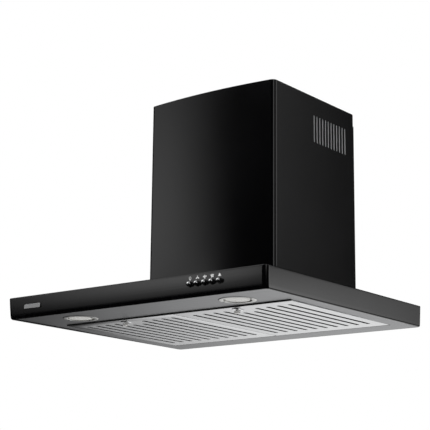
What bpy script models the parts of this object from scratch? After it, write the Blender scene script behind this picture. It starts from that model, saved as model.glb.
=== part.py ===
"""Wall-mounted T-shape range hood, 60 cm class, as separate named pieces.

The frame: X to the right as seen from the front, -Y towards the cook, Z up. The wall is the plane
Y = 0. The origin is on the wall plane, centred left to right, at half the canopy's height.
"""

import bmesh
import bpy
from math import atan2, cos, pi, radians, sin, sqrt
from mathutils import Vector

MM = 0.001

# Driving dimensions, in millimetres.
CANOPY_WIDTH = 598.0
CANOPY_DEPTH = 515.0
CANOPY_HEIGHT = 40.0
CHIMNEY_WIDTH = 302.0
CHIMNEY_DEPTH = 282.0
CHIMNEY_BOW = 10.0
CHIMNEY_RISE = 411.0
SHEET = 1.2
GAP = 0.4
DUCT_DIAMETER = 150.0

# Places that follow from them.
TOP = CANOPY_HEIGHT / 2
BOTTOM = -CANOPY_HEIGHT / 2
CHIMNEY_TOP = TOP + CHIMNEY_RISE
CANOPY_CORNER = 9.0
FRONT_ROLL = 6.0
SIDE_ROLL = 3.0
LIP = 1.0

# Grease filters and the opening they close.
FILTER_HALF_FIELD = 261.0
FILTER_FRONT = -388.5
FILTER_BACK = -60.0
FILTER_HEIGHT = 11.0
FILTER_CENTRE = (FILTER_HALF_FIELD + 1.2) / 2
SLOT_COUNT = 10
SLOT_PITCH = 23.4
SLOT_WIDTH = 6.0
SLOT_FRONT = -360.0
SLOT_BACK = -93.0
SHORT_SLOT_FRONT = -332.0
LATCH_Y = -368.0

# Lamps and controls.
LAMP_X = 183.0
LAMP_Y = -437.0
LAMP_RING_RADIUS = 36.0
LAMP_LENS_RADIUS = 23.5
BUTTON_COUNT = 5
BUTTON_FIRST_X = 140.6
BUTTON_PITCH = 15.7
BUTTON_Z = 2.0
BUTTON_RADIUS = 4.3
BUTTON_REACH = 8.0
BADGE_X = -233.0

# Motor box on the canopy, and the blower in it, on an axis parallel to X.
BOX_HALF_WIDTH = 122.0
BOX_FRONT = -262.0
BOX_BACK = -6.0
BOX_TOP = 262.0
DUCT_Y = -133.0
FAN_Y = -170.0
FAN_Z = 128.0
FAN_RADIUS = 72.0
FAN_EYE = 58.0
FAN_HALF_WIDTH = 42.0
BLADE_COUNT = 24
SCROLL_HALF_WIDTH = 48.0
SCROLL_START = 80.0
SCROLL_END = 104.0
TONGUE_U = -24.0
SHAFT_RADIUS = 4.0
HOOK_X = 70.0
HOOK_Z = 236.0

# Telescopic chimney.
CHIMNEY_CORNER = 8.0
FLANGE = 16.0
INNER_HEIGHT = 330.0
INNER_INSET = 1.8
VENT_COUNT = 12
VENT_PITCH = 10.2
VENT_FIRST_Y = -145.0
VENT_WIDTH = 4.8
VENT_LOW = TOP + 318.0
VENT_HIGH = TOP + 373.5


def clear_scene():
    """Remove what is in the file."""
    for thing in list(bpy.data.objects):
        bpy.data.objects.remove(thing)


def material(name, colour, metallic, roughness):
    """A Principled material; each piece gets its own."""
    made = bpy.data.materials.new(name)
    made.use_nodes = True
    shader = made.node_tree.nodes["Principled BSDF"]
    shader.inputs["Base Color"].default_value = (*colour, 1.0)
    shader.inputs["Metallic"].default_value = metallic
    shader.inputs["Roughness"].default_value = roughness
    return made


FINISHES = {
    "black": ((0.012, 0.012, 0.013), 0.0, 0.25),
    "brushed": ((0.30, 0.30, 0.31), 1.0, 0.35),
    "bright": ((0.62, 0.62, 0.62), 1.0, 0.30),
    "chrome": ((0.80, 0.80, 0.80), 1.0, 0.08),
    "zinc": ((0.50, 0.51, 0.52), 1.0, 0.45),
    "lens": ((0.85, 0.86, 0.84), 0.0, 0.40),
    "dark_plastic": ((0.03, 0.03, 0.03), 0.0, 0.50),
    "pale_plastic": ((0.55, 0.55, 0.52), 0.0, 0.50),
    "rubber": ((0.02, 0.02, 0.02), 0.0, 0.80),
    "motor": ((0.10, 0.10, 0.11), 0.6, 0.45),
}


def add_object(name, shape, finish, smooth=35, origin=None):
    """Turn a bmesh in millimetres into a named object, with its origin where it turns or slides.

    smooth is the angle in degrees above which an edge stays sharp.
    """
    bmesh.ops.recalc_face_normals(shape, faces=shape.faces)
    start = Vector(origin or (0.0, 0.0, 0.0)) * MM
    for corner in shape.verts:
        corner.co = corner.co * MM - start
    mesh = bpy.data.meshes.new(name)
    shape.to_mesh(mesh)
    shape.free()
    mesh.materials.append(material(name, *FINISHES[finish]))
    mesh.shade_smooth()
    mesh.set_sharp_from_angle(angle=radians(smooth))
    made = bpy.data.objects.new(name, mesh)
    made.location = start
    bpy.context.collection.objects.link(made)
    return made


def cut(target, cutter, kind="DIFFERENCE"):
    """Cut, or join, one object with another, which stays as a hidden guide."""
    step = target.modifiers.new(cutter.name, "BOOLEAN")
    step.operation = kind
    step.solver = "EXACT"
    step.object = cutter
    cutter.hide_render = True
    cutter.display_type = "WIRE"


def loft(shape, rings, closed=False):
    """Skin a row of rings that have the same count; closed joins the last ring to the first."""
    rows = [[shape.verts.new(point) for point in ring] for ring in rings]
    count = len(rows[0])
    pairs = list(zip(rows, rows[1:]))
    if closed:
        pairs.append((rows[-1], rows[0]))
    for low, high in pairs:
        for i in range(count):
            j = (i + 1) % count
            shape.faces.new((low[i], low[j], high[j], high[i]))
    if not closed:
        shape.faces.new(list(reversed(rows[0])))
        shape.faces.new(rows[-1])


def rounded_outline(x0, x1, y0, y1, radii, steps=5):
    """A rounded rectangle as (x, y, normal x, normal y), from the right front corner round to the left.

    radii holds the corner radii in the order front right, back right, back left, front left.
    """
    corners = [(x1, y0, -90), (x1, y1, 0), (x0, y1, 90), (x0, y0, 180)]
    points = []
    for (x, y, start), radius in zip(corners, radii):
        inward_x = 1 if x == x0 else -1
        inward_y = 1 if y == y0 else -1
        for k in range(steps + 1):
            turn = radians(start + 90.0 * k / steps)
            cx = x + inward_x * radius
            cy = y + inward_y * radius
            points.append((cx + radius * cos(turn), cy + radius * sin(turn), cos(turn), sin(turn)))
    return points


def inset_ring(outline, inset, z):
    """Shift an outline inwards along its normals; inset and z may be functions of a point."""
    ring = []
    for point in outline:
        depth = inset(point) if callable(inset) else inset
        height = z(point) if callable(z) else z
        ring.append((point[0] - point[2] * depth, point[1] - point[3] * depth, height))
    return ring


def box_ring(x0, x1, y0, y1, radius, z, steps=5):
    """A rounded rectangle at one height."""
    return inset_ring(rounded_outline(x0, x1, y0, y1, [radius] * 4, steps), 0.0, z)


def turned(shape, profile, centre, axis="Z", count=32):
    """Turn a closed profile of (radius, height) about an axis through centre.

    A profile whose ends are on the axis makes a solid; otherwise it is taken as a closed loop.
    """
    solid = profile[0][0] == 0 and profile[-1][0] == 0
    inner = profile[1:-1] if solid else profile
    rings = []
    for radius, height in inner:
        ring = []
        for k in range(count):
            turn = 2 * pi * k / count
            across = (radius * cos(turn), radius * sin(turn))
            offset = {"Z": (across[0], across[1], height), "X": (height, across[0], across[1]),
                      "Y": (across[1], height, across[0])}[axis]
            ring.append(tuple(c + o for c, o in zip(centre, offset)))
        rings.append(ring)
    loft(shape, rings, closed=not solid)


def prism(shape, points, lift, low, high):
    """Extrude a closed outline of 2D points; lift turns (u, v, height) into a 3D point."""
    rings = [[lift(u, v, level) for u, v in points] for level in (low, high)]
    loft(shape, rings)


def block(shape, x0, x1, y0, y1, z0, z1):
    """A plain box."""
    corners = [(x0, y0), (x1, y0), (x1, y1), (x0, y1)]
    prism(shape, corners, lambda u, v, level: (u, v, level), z0, z1)


def pan_screw(name, centre, axis, radius, length, sign=1):
    """A pan-head screw whose head stands on centre, with its shank the other way along axis."""
    head = radius * 1.9
    height = radius * 1.2
    profile = [(0, height), (head * 0.7, height), (head, height * 0.45), (head, 0),
               (radius, 0), (radius, -length), (0, -length)]
    shape = bmesh.new()
    turned(shape, [(r, h * sign) for r, h in profile], centre, axis, 12)
    add_object(name, shape, "zinc")


def canopy_outline():
    """The canopy's plan, with its four rounded vertical edges."""
    half = CANOPY_WIDTH / 2
    return rounded_outline(-half, half, -CANOPY_DEPTH, 0.0, [CANOPY_CORNER] * 4)


def roll(point):
    """Radius of the canopy's lower edge: large along the front, small along the sides and back."""
    frontness = max(0.0, -point[3]) ** 2
    return SIDE_ROLL + (FRONT_ROLL - SIDE_ROLL) * frontness


def canopy_shell():
    """Folded black sheet: top, four walls, a rolled lower edge and a small return lip."""
    outline = canopy_outline()
    rings = [inset_ring(outline, lambda p: roll(p) + LIP, BOTTOM)]
    arc_steps = 4
    for k in range(arc_steps + 1):
        turn = 0.5 * pi * k / arc_steps
        rings.append(inset_ring(outline, lambda p: roll(p) * (1 - sin(turn)),
                                lambda p: BOTTOM + roll(p) * (1 - cos(turn))))
    top_roll = 1.5
    for k in range(3):
        turn = 0.5 * pi * k / 2
        rings.append(inset_ring(outline, top_roll * (1 - cos(turn)), TOP - top_roll * (1 - sin(turn))))
    opening = (-BOX_HALF_WIDTH + 8, BOX_HALF_WIDTH - 8, BOX_FRONT + 8, BOX_BACK - 12, 6.0)
    rings.append(box_ring(*opening, TOP))
    rings.append(box_ring(*opening, TOP - SHEET))
    rings.append(inset_ring(outline, SHEET, TOP - SHEET))
    rings.append(inset_ring(outline, SHEET, lambda p: BOTTOM + roll(p)))
    rings.append(inset_ring(outline, lambda p: roll(p) + LIP, BOTTOM + SHEET))
    shape = bmesh.new()
    loft(shape, rings, closed=True)
    shell = add_object("canopy_shell", shape, "black")
    holes = bmesh.new()
    for x in button_places():
        turned(holes, [(0, -CANOPY_DEPTH - 2), (BUTTON_RADIUS + GAP, -CANOPY_DEPTH - 2),
                       (BUTTON_RADIUS + GAP, -CANOPY_DEPTH + 4), (0, -CANOPY_DEPTH + 4)],
               (x, 0.0, BUTTON_Z), "Y", 20)
    cut(shell, add_object("canopy_button_holes", holes, "black"))


def button_places():
    """X of each push button."""
    return [BUTTON_FIRST_X + BUTTON_PITCH * k for k in range(BUTTON_COUNT)]


def underside_panel():
    """Brushed tray inside the shell's lip, with the filter opening and two lamp holes."""
    outline = canopy_outline()

    def edge(point):
        return roll(point) + LIP + GAP

    opening = (-FILTER_HALF_FIELD - 1.2, FILTER_HALF_FIELD + 1.2, FILTER_FRONT - 1.8, FILTER_BACK + 1.8)
    outer_wall = BOTTOM + 12.0
    fold = BOTTOM + 10.0
    rings = [
        inset_ring(outline, edge, outer_wall),
        inset_ring(outline, edge, BOTTOM),
        box_ring(*opening, 1.5, BOTTOM),
        box_ring(*opening, 1.5, fold),
        box_ring(opening[0] - 1, opening[1] + 1, opening[2] - 1, opening[3] + 1, 2.0, fold),
        box_ring(opening[0] - 1, opening[1] + 1, opening[2] - 1, opening[3] + 1, 2.0, BOTTOM + 1.0),
        inset_ring(outline, lambda p: edge(p) + 1.0, BOTTOM + 1.0),
        inset_ring(outline, lambda p: edge(p) + 1.0, outer_wall),
    ]
    shape = bmesh.new()
    loft(shape, rings, closed=True)
    panel = add_object("underside_panel", shape, "brushed")
    holes = bmesh.new()
    for side in (-1, 1):
        centre = (side * LAMP_X, LAMP_Y, 0.0)
        turned(holes, [(0, BOTTOM - 3), (LAMP_RING_RADIUS - 5, BOTTOM - 3),
                       (LAMP_RING_RADIUS - 5, BOTTOM + 4), (0, BOTTOM + 4)], centre, "Z", 32)
    cut(panel, add_object("panel_lamp_holes", holes, "brushed"))


def lamps():
    """Two recessed lamps: trim ring, frosted lens, module above, and two screws in each ring."""
    for name, side in (("left", -1), ("right", 1)):
        centre = (side * LAMP_X, LAMP_Y, BOTTOM)
        neck = LAMP_RING_RADIUS - 6.5
        ring = [(LAMP_LENS_RADIUS + GAP, -2.6), (LAMP_RING_RADIUS - 2.5, -2.6), (LAMP_RING_RADIUS, -1.2),
                (LAMP_RING_RADIUS, -0.3), (neck, -0.3), (neck, 6.0), (LAMP_LENS_RADIUS + 3, 6.0),
                (LAMP_LENS_RADIUS + GAP, 3.0)]
        shape = bmesh.new()
        turned(shape, ring, centre, "Z", 40)
        add_object("lamp_ring_" + name, shape, "bright")
        lens = [(0, -2.0), (LAMP_LENS_RADIUS * 0.6, -1.8), (LAMP_LENS_RADIUS - 1, -1.3),
                (LAMP_LENS_RADIUS, -0.4), (LAMP_LENS_RADIUS, 2.4), (0, 2.4)]
        shape = bmesh.new()
        turned(shape, lens, centre, "Z", 40)
        add_object("lamp_lens_" + name, shape, "lens")
        module = [(0, 6.4), (26.0, 6.4), (26.0, 14.0), (20.0, 18.0), (20.0, 26.0), (0, 26.0)]
        shape = bmesh.new()
        turned(shape, module, centre, "Z", 24)
        add_object("lamp_module_" + name, shape, "pale_plastic")
        middle = (LAMP_LENS_RADIUS + LAMP_RING_RADIUS - 2.5) / 2
        for end, place in (("outer", side), ("inner", -side)):
            head = [(0, -3.8), (1.7, -3.8), (2.3, -2.9), (0, -2.9)]
            shape = bmesh.new()
            turned(shape, head, (centre[0] + place * middle, LAMP_Y, BOTTOM), "Z", 12)
            add_object("lamp_screw_%s_%s" % (name, end), shape, "chrome")


def badge():
    """Blank badge plate on the left of the front face."""
    shape = bmesh.new()
    plate = [(p[0], p[1]) for p in rounded_outline(-20.5, 20.5, -4.0, 4.0, [1.5] * 4, 3)]
    prism(shape, plate, lambda u, v, level: (BADGE_X + u, -CANOPY_DEPTH - level, v), 0.3, 0.9)
    add_object("badge_plate", shape, "chrome")


def push_buttons():
    """Five round chrome buttons, each with its own stem."""
    front = -CANOPY_DEPTH
    for k, x in enumerate(button_places()):
        tip = front - BUTTON_REACH
        profile = [(0, tip), (BUTTON_RADIUS - 1.6, tip + 0.1), (BUTTON_RADIUS - 0.5, tip + 0.6),
                   (BUTTON_RADIUS, tip + 1.7), (BUTTON_RADIUS, front + 5.0), (2.0, front + 5.0),
                   (2.0, front + 14.0), (0, front + 14.0)]
        shape = bmesh.new()
        turned(shape, profile, (x, 0.0, BUTTON_Z), "Y", 24)
        add_object("button_%d" % (k + 1), shape, "chrome", 40, origin=(x, front, BUTTON_Z))


def switch_parts():
    """The switch block that the buttons' stems work in, and the bracket that hangs it from the top."""
    front = -CANOPY_DEPTH
    middle = BUTTON_FIRST_X + BUTTON_PITCH * (BUTTON_COUNT - 1) / 2
    half = BUTTON_PITCH * BUTTON_COUNT / 2 + 2
    shape = bmesh.new()
    block(shape, middle - half, middle + half, front + 9.0, front + 34.0, -11.0, 11.0)
    housing = add_object("switch_block", shape, "dark_plastic")
    bores = bmesh.new()
    for x in button_places():
        turned(bores, [(0, front + 7), (2.4, front + 7), (2.4, front + 19), (0, front + 19)],
               (x, 0.0, BUTTON_Z), "Y", 12)
    cut(housing, add_object("switch_bores", bores, "dark_plastic"))
    ceiling = TOP - SHEET - 0.3
    profile = [(front + 34.4, -13.0), (front + 36.0, -13.0), (front + 36.0, ceiling),
               (front + 2.0, ceiling), (front + 2.0, ceiling - 1.6), (front + 34.4, ceiling - 1.6)]
    shape = bmesh.new()
    prism(shape, profile, lambda u, v, level: (level, u, v), middle - half, middle + half)
    add_object("switch_bracket", shape, "zinc")


def capsule(cx, y0, y1, width, steps=5):
    """A slot's outline with round ends, long in its second direction."""
    radius = width / 2
    points = []
    for y, start in ((y1 - radius, 0), (y0 + radius, 180)):
        for k in range(steps + 1):
            turn = radians(start + 180.0 * k / steps)
            points.append((cx + radius * cos(turn), y + radius * sin(turn)))
    return points


def upright(u, v, level):
    """Lift a plan outline to a height."""
    return (u, v, level)


def sideways(u, v, level):
    """Turn an outline in (Y, Z) into one that is extruded along X."""
    return (level, u, v)


def filter_face(name, side, hinge):
    """Slotted tray with upturned walls, a latch slot and a window for the latch's bolt."""
    near, far = sorted((side * 1.2, side * FILTER_HALF_FIELD))
    centre = side * FILTER_CENTRE
    top = BOTTOM + FILTER_HEIGHT
    rings = [
        box_ring(near + 1, far - 1, FILTER_FRONT + 1, FILTER_BACK - 1, 1.2, BOTTOM + 1.2),
        box_ring(near + 1, far - 1, FILTER_FRONT + 1, FILTER_BACK - 1, 1.2, top),
        box_ring(near, far, FILTER_FRONT, FILTER_BACK, 2.0, top),
        box_ring(near, far, FILTER_FRONT, FILTER_BACK, 2.0, BOTTOM + 0.8),
        box_ring(near + 0.8, far - 0.8, FILTER_FRONT + 0.8, FILTER_BACK - 0.8, 1.6, BOTTOM),
    ]
    shape = bmesh.new()
    loft(shape, rings)
    face = add_object("filter_face_" + name, shape, "bright", origin=hinge)
    slots = bmesh.new()
    for k in range(SLOT_COUNT):
        x = centre + (k - (SLOT_COUNT - 1) / 2) * SLOT_PITCH
        middle = k in (SLOT_COUNT // 2 - 1, SLOT_COUNT // 2)
        front = SHORT_SLOT_FRONT if middle else SLOT_FRONT
        prism(slots, capsule(x, front, SLOT_BACK, SLOT_WIDTH), upright, BOTTOM - 2, BOTTOM + 3)
    prism(slots, capsule(centre, LATCH_Y - 4, LATCH_Y + 10, 5.6, 4), upright, BOTTOM - 2, BOTTOM + 3)
    block(slots, centre - 8, centre + 8, FILTER_FRONT - 2, FILTER_FRONT + 3, BOTTOM + 1.3, BOTTOM + 5)
    cut(face, add_object("filter_slots_" + name, slots, "bright"))


def filter_mesh(name, side, hinge):
    """The knitted aluminium pad above the slots, pressed flat."""
    centre = side * FILTER_CENTRE
    half = FILTER_CENTRE - 4.5
    shape = bmesh.new()
    block(shape, centre - half, centre + half, FILTER_FRONT + 38, FILTER_BACK - 4, BOTTOM + 1.6, BOTTOM + 4.2)
    add_object("filter_mesh_" + name, shape, "bright", origin=hinge)


def filter_latch(name, side):
    """Knob, stem and flat bolt in one piece, and the washer plate around the slot."""
    centre = side * FILTER_CENTRE
    knob = [(0, BOTTOM - 8.0), (2.6, BOTTOM - 8.0), (3.6, BOTTOM - 7.0), (3.6, BOTTOM - 2.6),
            (2.4, BOTTOM - 1.8), (2.4, BOTTOM + 2.4), (0, BOTTOM + 2.4)]
    shape = bmesh.new()
    turned(shape, knob, (centre, LATCH_Y, 0.0), "Z", 20)
    latch = add_object("filter_latch_" + name, shape, "chrome", origin=(centre, LATCH_Y, BOTTOM))
    bolt = bmesh.new()
    block(bolt, centre - 7, centre + 7, FILTER_FRONT - 0.4, LATCH_Y + 9.5, BOTTOM + 1.7, BOTTOM + 4.2)
    cut(latch, add_object("latch_bolt_" + name, bolt, "chrome"), "UNION")
    shape = bmesh.new()
    plate = rounded_outline(centre - 7, centre + 7, LATCH_Y - 10, LATCH_Y + 15, [5.0] * 4, 4)
    hole = rounded_outline(centre - 2.8, centre + 2.8, LATCH_Y - 4, LATCH_Y + 10, [2.7] * 4, 4)
    low, high = BOTTOM - 1.0, BOTTOM - 0.3
    rings = [inset_ring(plate, 0, high), inset_ring(plate, 0.3, low), inset_ring(hole, 0, low),
             inset_ring(hole, 0, high)]
    loft(shape, rings, closed=True)
    hinge = (centre, FILTER_BACK, BOTTOM + 1.0)
    add_object("latch_plate_" + name, shape, "chrome", origin=hinge)


def grease_filters():
    """Two filters that swing down about their rear edges, and the rail between them."""
    for name, side in (("left", -1), ("right", 1)):
        hinge = (side * FILTER_CENTRE, FILTER_BACK, BOTTOM + 1.0)
        filter_face(name, side, hinge)
        filter_mesh(name, side, hinge)
        filter_latch(name, side)
    low = BOTTOM + FILTER_HEIGHT + 0.4
    profile = [(-14.0, low), (14.0, low), (14.0, low + 1.5), (0.8, low + 1.5), (0.8, low + 10.0),
               (-0.8, low + 10.0), (-0.8, low + 1.5), (-14.0, low + 1.5)]
    shape = bmesh.new()
    prism(shape, profile, lambda u, v, level: (u, level, v), FILTER_FRONT - 4.0, FILTER_BACK + 4.0)
    add_object("filter_rail", shape, "zinc")


def motor_box():
    """Galvanised box on the canopy's top, open below, with the outlet hole and two hook windows."""
    low = TOP + GAP
    box = (-BOX_HALF_WIDTH, BOX_HALF_WIDTH, BOX_FRONT, BOX_BACK)
    flange = (box[0] + 8, box[1] - 8, box[2] + 8, box[3] - 8)
    inside = (box[0] + SHEET, box[1] - SHEET, box[2] + SHEET, box[3] - SHEET)
    rings = [
        box_ring(*inside, 2.0, BOX_TOP - SHEET), box_ring(*inside, 2.0, low + SHEET),
        box_ring(*flange, 3.0, low + SHEET), box_ring(*flange, 3.0, low), box_ring(*box, 3.0, low),
        box_ring(*box, 3.0, BOX_TOP),
    ]
    shape = bmesh.new()
    loft(shape, rings)
    made = add_object("motor_box", shape, "zinc")
    windows = bmesh.new()
    for side in (-1, 1):
        x = side * HOOK_X
        block(windows, x - 13, x + 13, BOX_BACK - 4, BOX_BACK + 2, HOOK_Z - 22, HOOK_Z + 0.3)
    cut(made, add_object("hook_windows", windows, "zinc"))
    hole = bmesh.new()
    reach = DUCT_DIAMETER / 2 - 5
    turned(hole, [(0, BOX_TOP - 4), (reach, BOX_TOP - 4), (reach, BOX_TOP + 4), (0, BOX_TOP + 4)],
           (0.0, DUCT_Y, 0.0), "Z", 48)
    cut(made, add_object("box_outlet", hole, "zinc"))


def wall_hooks():
    """Two hooks on the wall, whose tongues reach through the windows in the motor box's back."""
    for side in (-1, 1):
        profile = [(0.0, HOOK_Z - 60), (0.0, HOOK_Z + 8), (-2.0, HOOK_Z + 8), (-2.0, HOOK_Z),
                   (-8.4, HOOK_Z), (-8.4, HOOK_Z + 11), (-10.4, HOOK_Z + 11), (-10.4, HOOK_Z - 2),
                   (-2.0, HOOK_Z - 2), (-2.0, HOOK_Z - 60)]
        shape = bmesh.new()
        prism(shape, profile, sideways, side * HOOK_X - 10, side * HOOK_X + 10)
        hook = add_object("wall_hook_" + ("left" if side < 0 else "right"), shape, "zinc")
        hole = bmesh.new()
        turned(hole, [(0, -5.0), (2.6, -5.0), (2.6, 3.0), (0, 3.0)], (side * HOOK_X, 0.0, HOOK_Z - 45), "Y", 16)
        cut(hook, add_object("hook_screw_hole_%d" % side, hole, "zinc"))


def scroll_outline(grow):
    """The volute in (Y, Z): neck front wall, spiral round the fan, neck rear wall; grow is outward."""
    roof = BOX_TOP - SHEET - GAP
    tongue = TONGUE_U - grow
    start = SCROLL_START + grow
    first = pi - atan2(sqrt(start ** 2 - tongue ** 2), -tongue)
    steps = 36
    points = [(FAN_Y + tongue, roof)]
    for k in range(steps + 1):
        turn = first + (2 * pi - first) * k / steps
        reach = start + (SCROLL_END - SCROLL_START) * k / steps
        points.append((FAN_Y + reach * cos(turn), FAN_Z + reach * sin(turn)))
    points.append((FAN_Y + SCROLL_END + grow, roof))
    return points


def scroll():
    """Volute casing: the curved wrapper and two side plates with inlet holes."""
    wall = 1.5
    inner = scroll_outline(0.0)
    outer = scroll_outline(wall)
    shape = bmesh.new()
    reach = SCROLL_HALF_WIDTH - wall - 0.3
    prism(shape, inner + list(reversed(outer)), sideways, -reach, reach)
    add_object("scroll_wrapper", shape, "zinc")
    for name, side in (("left", -1), ("right", 1)):
        near, far = sorted((side * (SCROLL_HALF_WIDTH - wall), side * SCROLL_HALF_WIDTH))
        shape = bmesh.new()
        prism(shape, outer, sideways, near, far)
        plate = add_object("scroll_side_" + name, shape, "zinc")
        eye = bmesh.new()
        turned(eye, [(0, near - 2), (FAN_EYE - 1, near - 2), (FAN_EYE - 1, far + 2), (0, far + 2)],
               (0.0, FAN_Y, FAN_Z), "X", 48)
        cut(plate, add_object("scroll_eye_" + name, eye, "zinc"))


def impeller():
    """Double-inlet drum: a middle disc with its hub, two end rings and forward-curved blades."""
    axis = (0.0, FAN_Y, FAN_Z)
    half = FAN_HALF_WIDTH
    bore = SHAFT_RADIUS + 0.3
    disc = [(bore, -7.0), (11.0, -7.0), (11.0, -1.0), (FAN_RADIUS, -1.0), (FAN_RADIUS, 1.0),
            (11.0, 1.0), (11.0, 7.0), (bore, 7.0)]
    shape = bmesh.new()
    turned(shape, disc, axis, "X", BLADE_COUNT)
    for side in (-1, 1):
        ring = [(FAN_EYE + 3, side * half), (FAN_RADIUS, side * half), (FAN_RADIUS, side * (half - 3)),
                (FAN_EYE + 3, side * (half - 3))]
        turned(shape, ring, axis, "X", BLADE_COUNT)
    drum = add_object("fan_impeller", shape, "dark_plastic", origin=axis)
    blades = bmesh.new()
    for k in range(BLADE_COUNT):
        start = 2 * pi * k / BLADE_COUNT
        front, back = [], []
        for j in range(3):
            radius = FAN_EYE + 1 + (FAN_RADIUS - FAN_EYE - 3.0) * j / 2
            bend = start + 0.10 * (j / 2) ** 2
            for points, shift in ((front, 0.7), (back, -0.7)):
                turn = bend + shift / radius
                points.append((FAN_Y + radius * cos(turn), FAN_Z + radius * sin(turn)))
        prism(blades, front + list(reversed(back)), sideways, -half + 0.4, half - 0.4)
    cut(drum, add_object("fan_blades", blades, "dark_plastic"), "UNION")


def motor():
    """Motor half inside the drum, its shaft and nut, and the strap and rubber feet that hold it."""
    axis = (0.0, FAN_Y, FAN_Z)
    shape = bmesh.new()
    turned(shape, [(0, -15.0), (SHAFT_RADIUS - 0.5, -15.0), (SHAFT_RADIUS, -14.5), (SHAFT_RADIUS, 38.0),
                   (0, 38.0)], axis, "X", 16)
    add_object("motor_shaft", shape, "zinc", origin=axis)
    nut = (SHAFT_RADIUS + 0.3) / cos(pi / 6)
    shape = bmesh.new()
    turned(shape, [(nut, -13.4), (8.0, -13.4), (8.0, -7.4), (nut, -7.4)], axis, "X", 6)
    add_object("shaft_nut", shape, "zinc", origin=axis)
    can = [(0, 40.0), (SHAFT_RADIUS + 0.4, 40.0), (SHAFT_RADIUS + 0.4, 12.0), (14.0, 12.0), (14.0, 16.0),
           (38.0, 19.0), (45.0, 25.0), (45.0, 60.0), (38.0, 66.0), (20.0, 68.0), (0, 68.0)]
    shape = bmesh.new()
    turned(shape, can, axis, "X", 28)
    add_object("fan_motor", shape, "motor")
    foot, plate = SCROLL_HALF_WIDTH + 3.7, 68.4
    leg = 68.0
    profile = [(foot, -leg - 13), (foot + 1.6, -leg - 13), (foot + 1.6, -leg), (plate + 1.6, -leg),
               (plate + 1.6, leg), (foot + 1.6, leg), (foot + 1.6, leg + 13), (foot, leg + 13),
               (foot, leg - 1.6), (plate, leg - 1.6), (plate, -leg + 1.6), (foot, -leg + 1.6)]
    shape = bmesh.new()
    prism(shape, profile, lambda u, v, level: (u, level, FAN_Z + v), FAN_Y - 14, FAN_Y + 14)
    add_object("motor_strap", shape, "zinc")
    for name, side in (("lower", -1), ("upper", 1)):
        centre = (0.0, FAN_Y, FAN_Z + side * (leg + 6.5))
        start = SCROLL_HALF_WIDTH + 0.3
        shape = bmesh.new()
        turned(shape, [(0, start), (6.0, start), (6.0, start + 3.1), (0, start + 3.1)], centre, "X", 16)
        add_object("motor_grommet_" + name, shape, "rubber")
        head = (foot + 1.9, FAN_Y, centre[2])
        pan_screw("motor_screw_" + name, head, "X", 2.2, 0.0)


def electrics():
    """Capacitor and terminal box on the motor box's left wall."""
    wall = -BOX_HALF_WIDTH + SHEET + GAP
    shape = bmesh.new()
    turned(shape, [(0, 60.0), (15.0, 60.0), (16.0, 61.5), (16.0, 104.0), (14.5, 106.0), (5.0, 106.0),
                   (5.0, 109.0), (0, 109.0)], (wall + 16.2, -60.0, 0.0), "Z", 20)
    add_object("capacitor", shape, "pale_plastic")
    shape = bmesh.new()
    rings = [box_ring(wall, wall + 34, -210, -140, 3.0, 190.0, 2),
             box_ring(wall, wall + 34, -210, -140, 3.0, 236.0, 2)]
    loft(shape, rings)
    add_object("terminal_box", shape, "dark_plastic")


def outlet():
    """Collar on the box, a ledge in it, and two half-round flaps on one pin."""
    bore = DUCT_DIAMETER / 2 - 2
    centre = (0.0, DUCT_Y, BOX_TOP + GAP)
    profile = [(bore - 5, 0), (bore + 9, 0), (bore + 9, 2.0), (bore + 2, 2.0), (bore + 2, 46.0),
               (bore + 1, 48.0), (bore, 48.0), (bore, 7.0), (bore - 5, 7.0)]
    shape = bmesh.new()
    turned(shape, profile, centre, "Z", 48)
    collar = add_object("outlet_collar", shape, "dark_plastic")
    pin_z = centre[2] + 10.6
    holes = bmesh.new()
    turned(holes, [(0, -bore - 6), (1.9, -bore - 6), (1.9, bore + 6), (0, bore + 6)],
           (0.0, DUCT_Y, pin_z), "Y", 12)
    cut(collar, add_object("collar_pin_holes", holes, "dark_plastic"))
    shape = bmesh.new()
    turned(shape, [(0, -bore - 1.6), (1.5, -bore - 1.6), (1.5, bore + 1.6), (0, bore + 1.6)],
           (0.0, DUCT_Y, pin_z), "Y", 12)
    add_object("flap_pin", shape, "zinc")
    for name, side, offset in (("left", -1, 0.0), ("right", 1, 17.0)):
        flap(name, side, offset, bore - 1.5, pin_z)
    for k, (sx, sy) in enumerate(((-1, -1), (1, -1), (1, 1), (-1, 1))):
        x = sx * (bore + 5.5) * 0.7071
        y = DUCT_Y + sy * (bore + 5.5) * 0.7071
        pan_screw("collar_screw_%d" % (k + 1), (x, y, centre[2] + 2.3), "Z", 1.6, 0.0)


def flap(name, side, offset, radius, pin_z):
    """Half-round flap whose straight edge has two knuckles round the pin."""
    low, high = pin_z - 3.2, pin_z - 2.0
    clear = 3.6
    edge = sqrt(radius ** 2 - clear ** 2)
    sweep = atan2(edge, clear)
    steps = 18
    outline = []
    for k in range(steps + 1):
        turn = -sweep + 2 * sweep * k / steps
        outline.append((side * radius * cos(turn), DUCT_Y + radius * sin(turn)))
    shape = bmesh.new()
    prism(shape, outline, upright, low, high)
    made = add_object("backdraft_flap_" + name, shape, "pale_plastic", origin=(0.0, DUCT_Y, pin_z))
    knuckles = bmesh.new()
    tabs = bmesh.new()
    for start in (-48.0 + offset, 16.0 + offset):
        turned(knuckles, [(1.8, start), (3.0, start), (3.0, start + 16), (1.8, start + 16)],
               (0.0, DUCT_Y, pin_z), "Y", 16)
        near, far = sorted((side * 1.95, side * (clear + 3)))
        block(tabs, near, far, DUCT_Y + start, DUCT_Y + start + 16, low, high)
    cut(made, add_object("flap_tabs_" + name, tabs, "pale_plastic"), "UNION")
    cut(made, add_object("flap_knuckles_" + name, knuckles, "pale_plastic"), "UNION")


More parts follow.
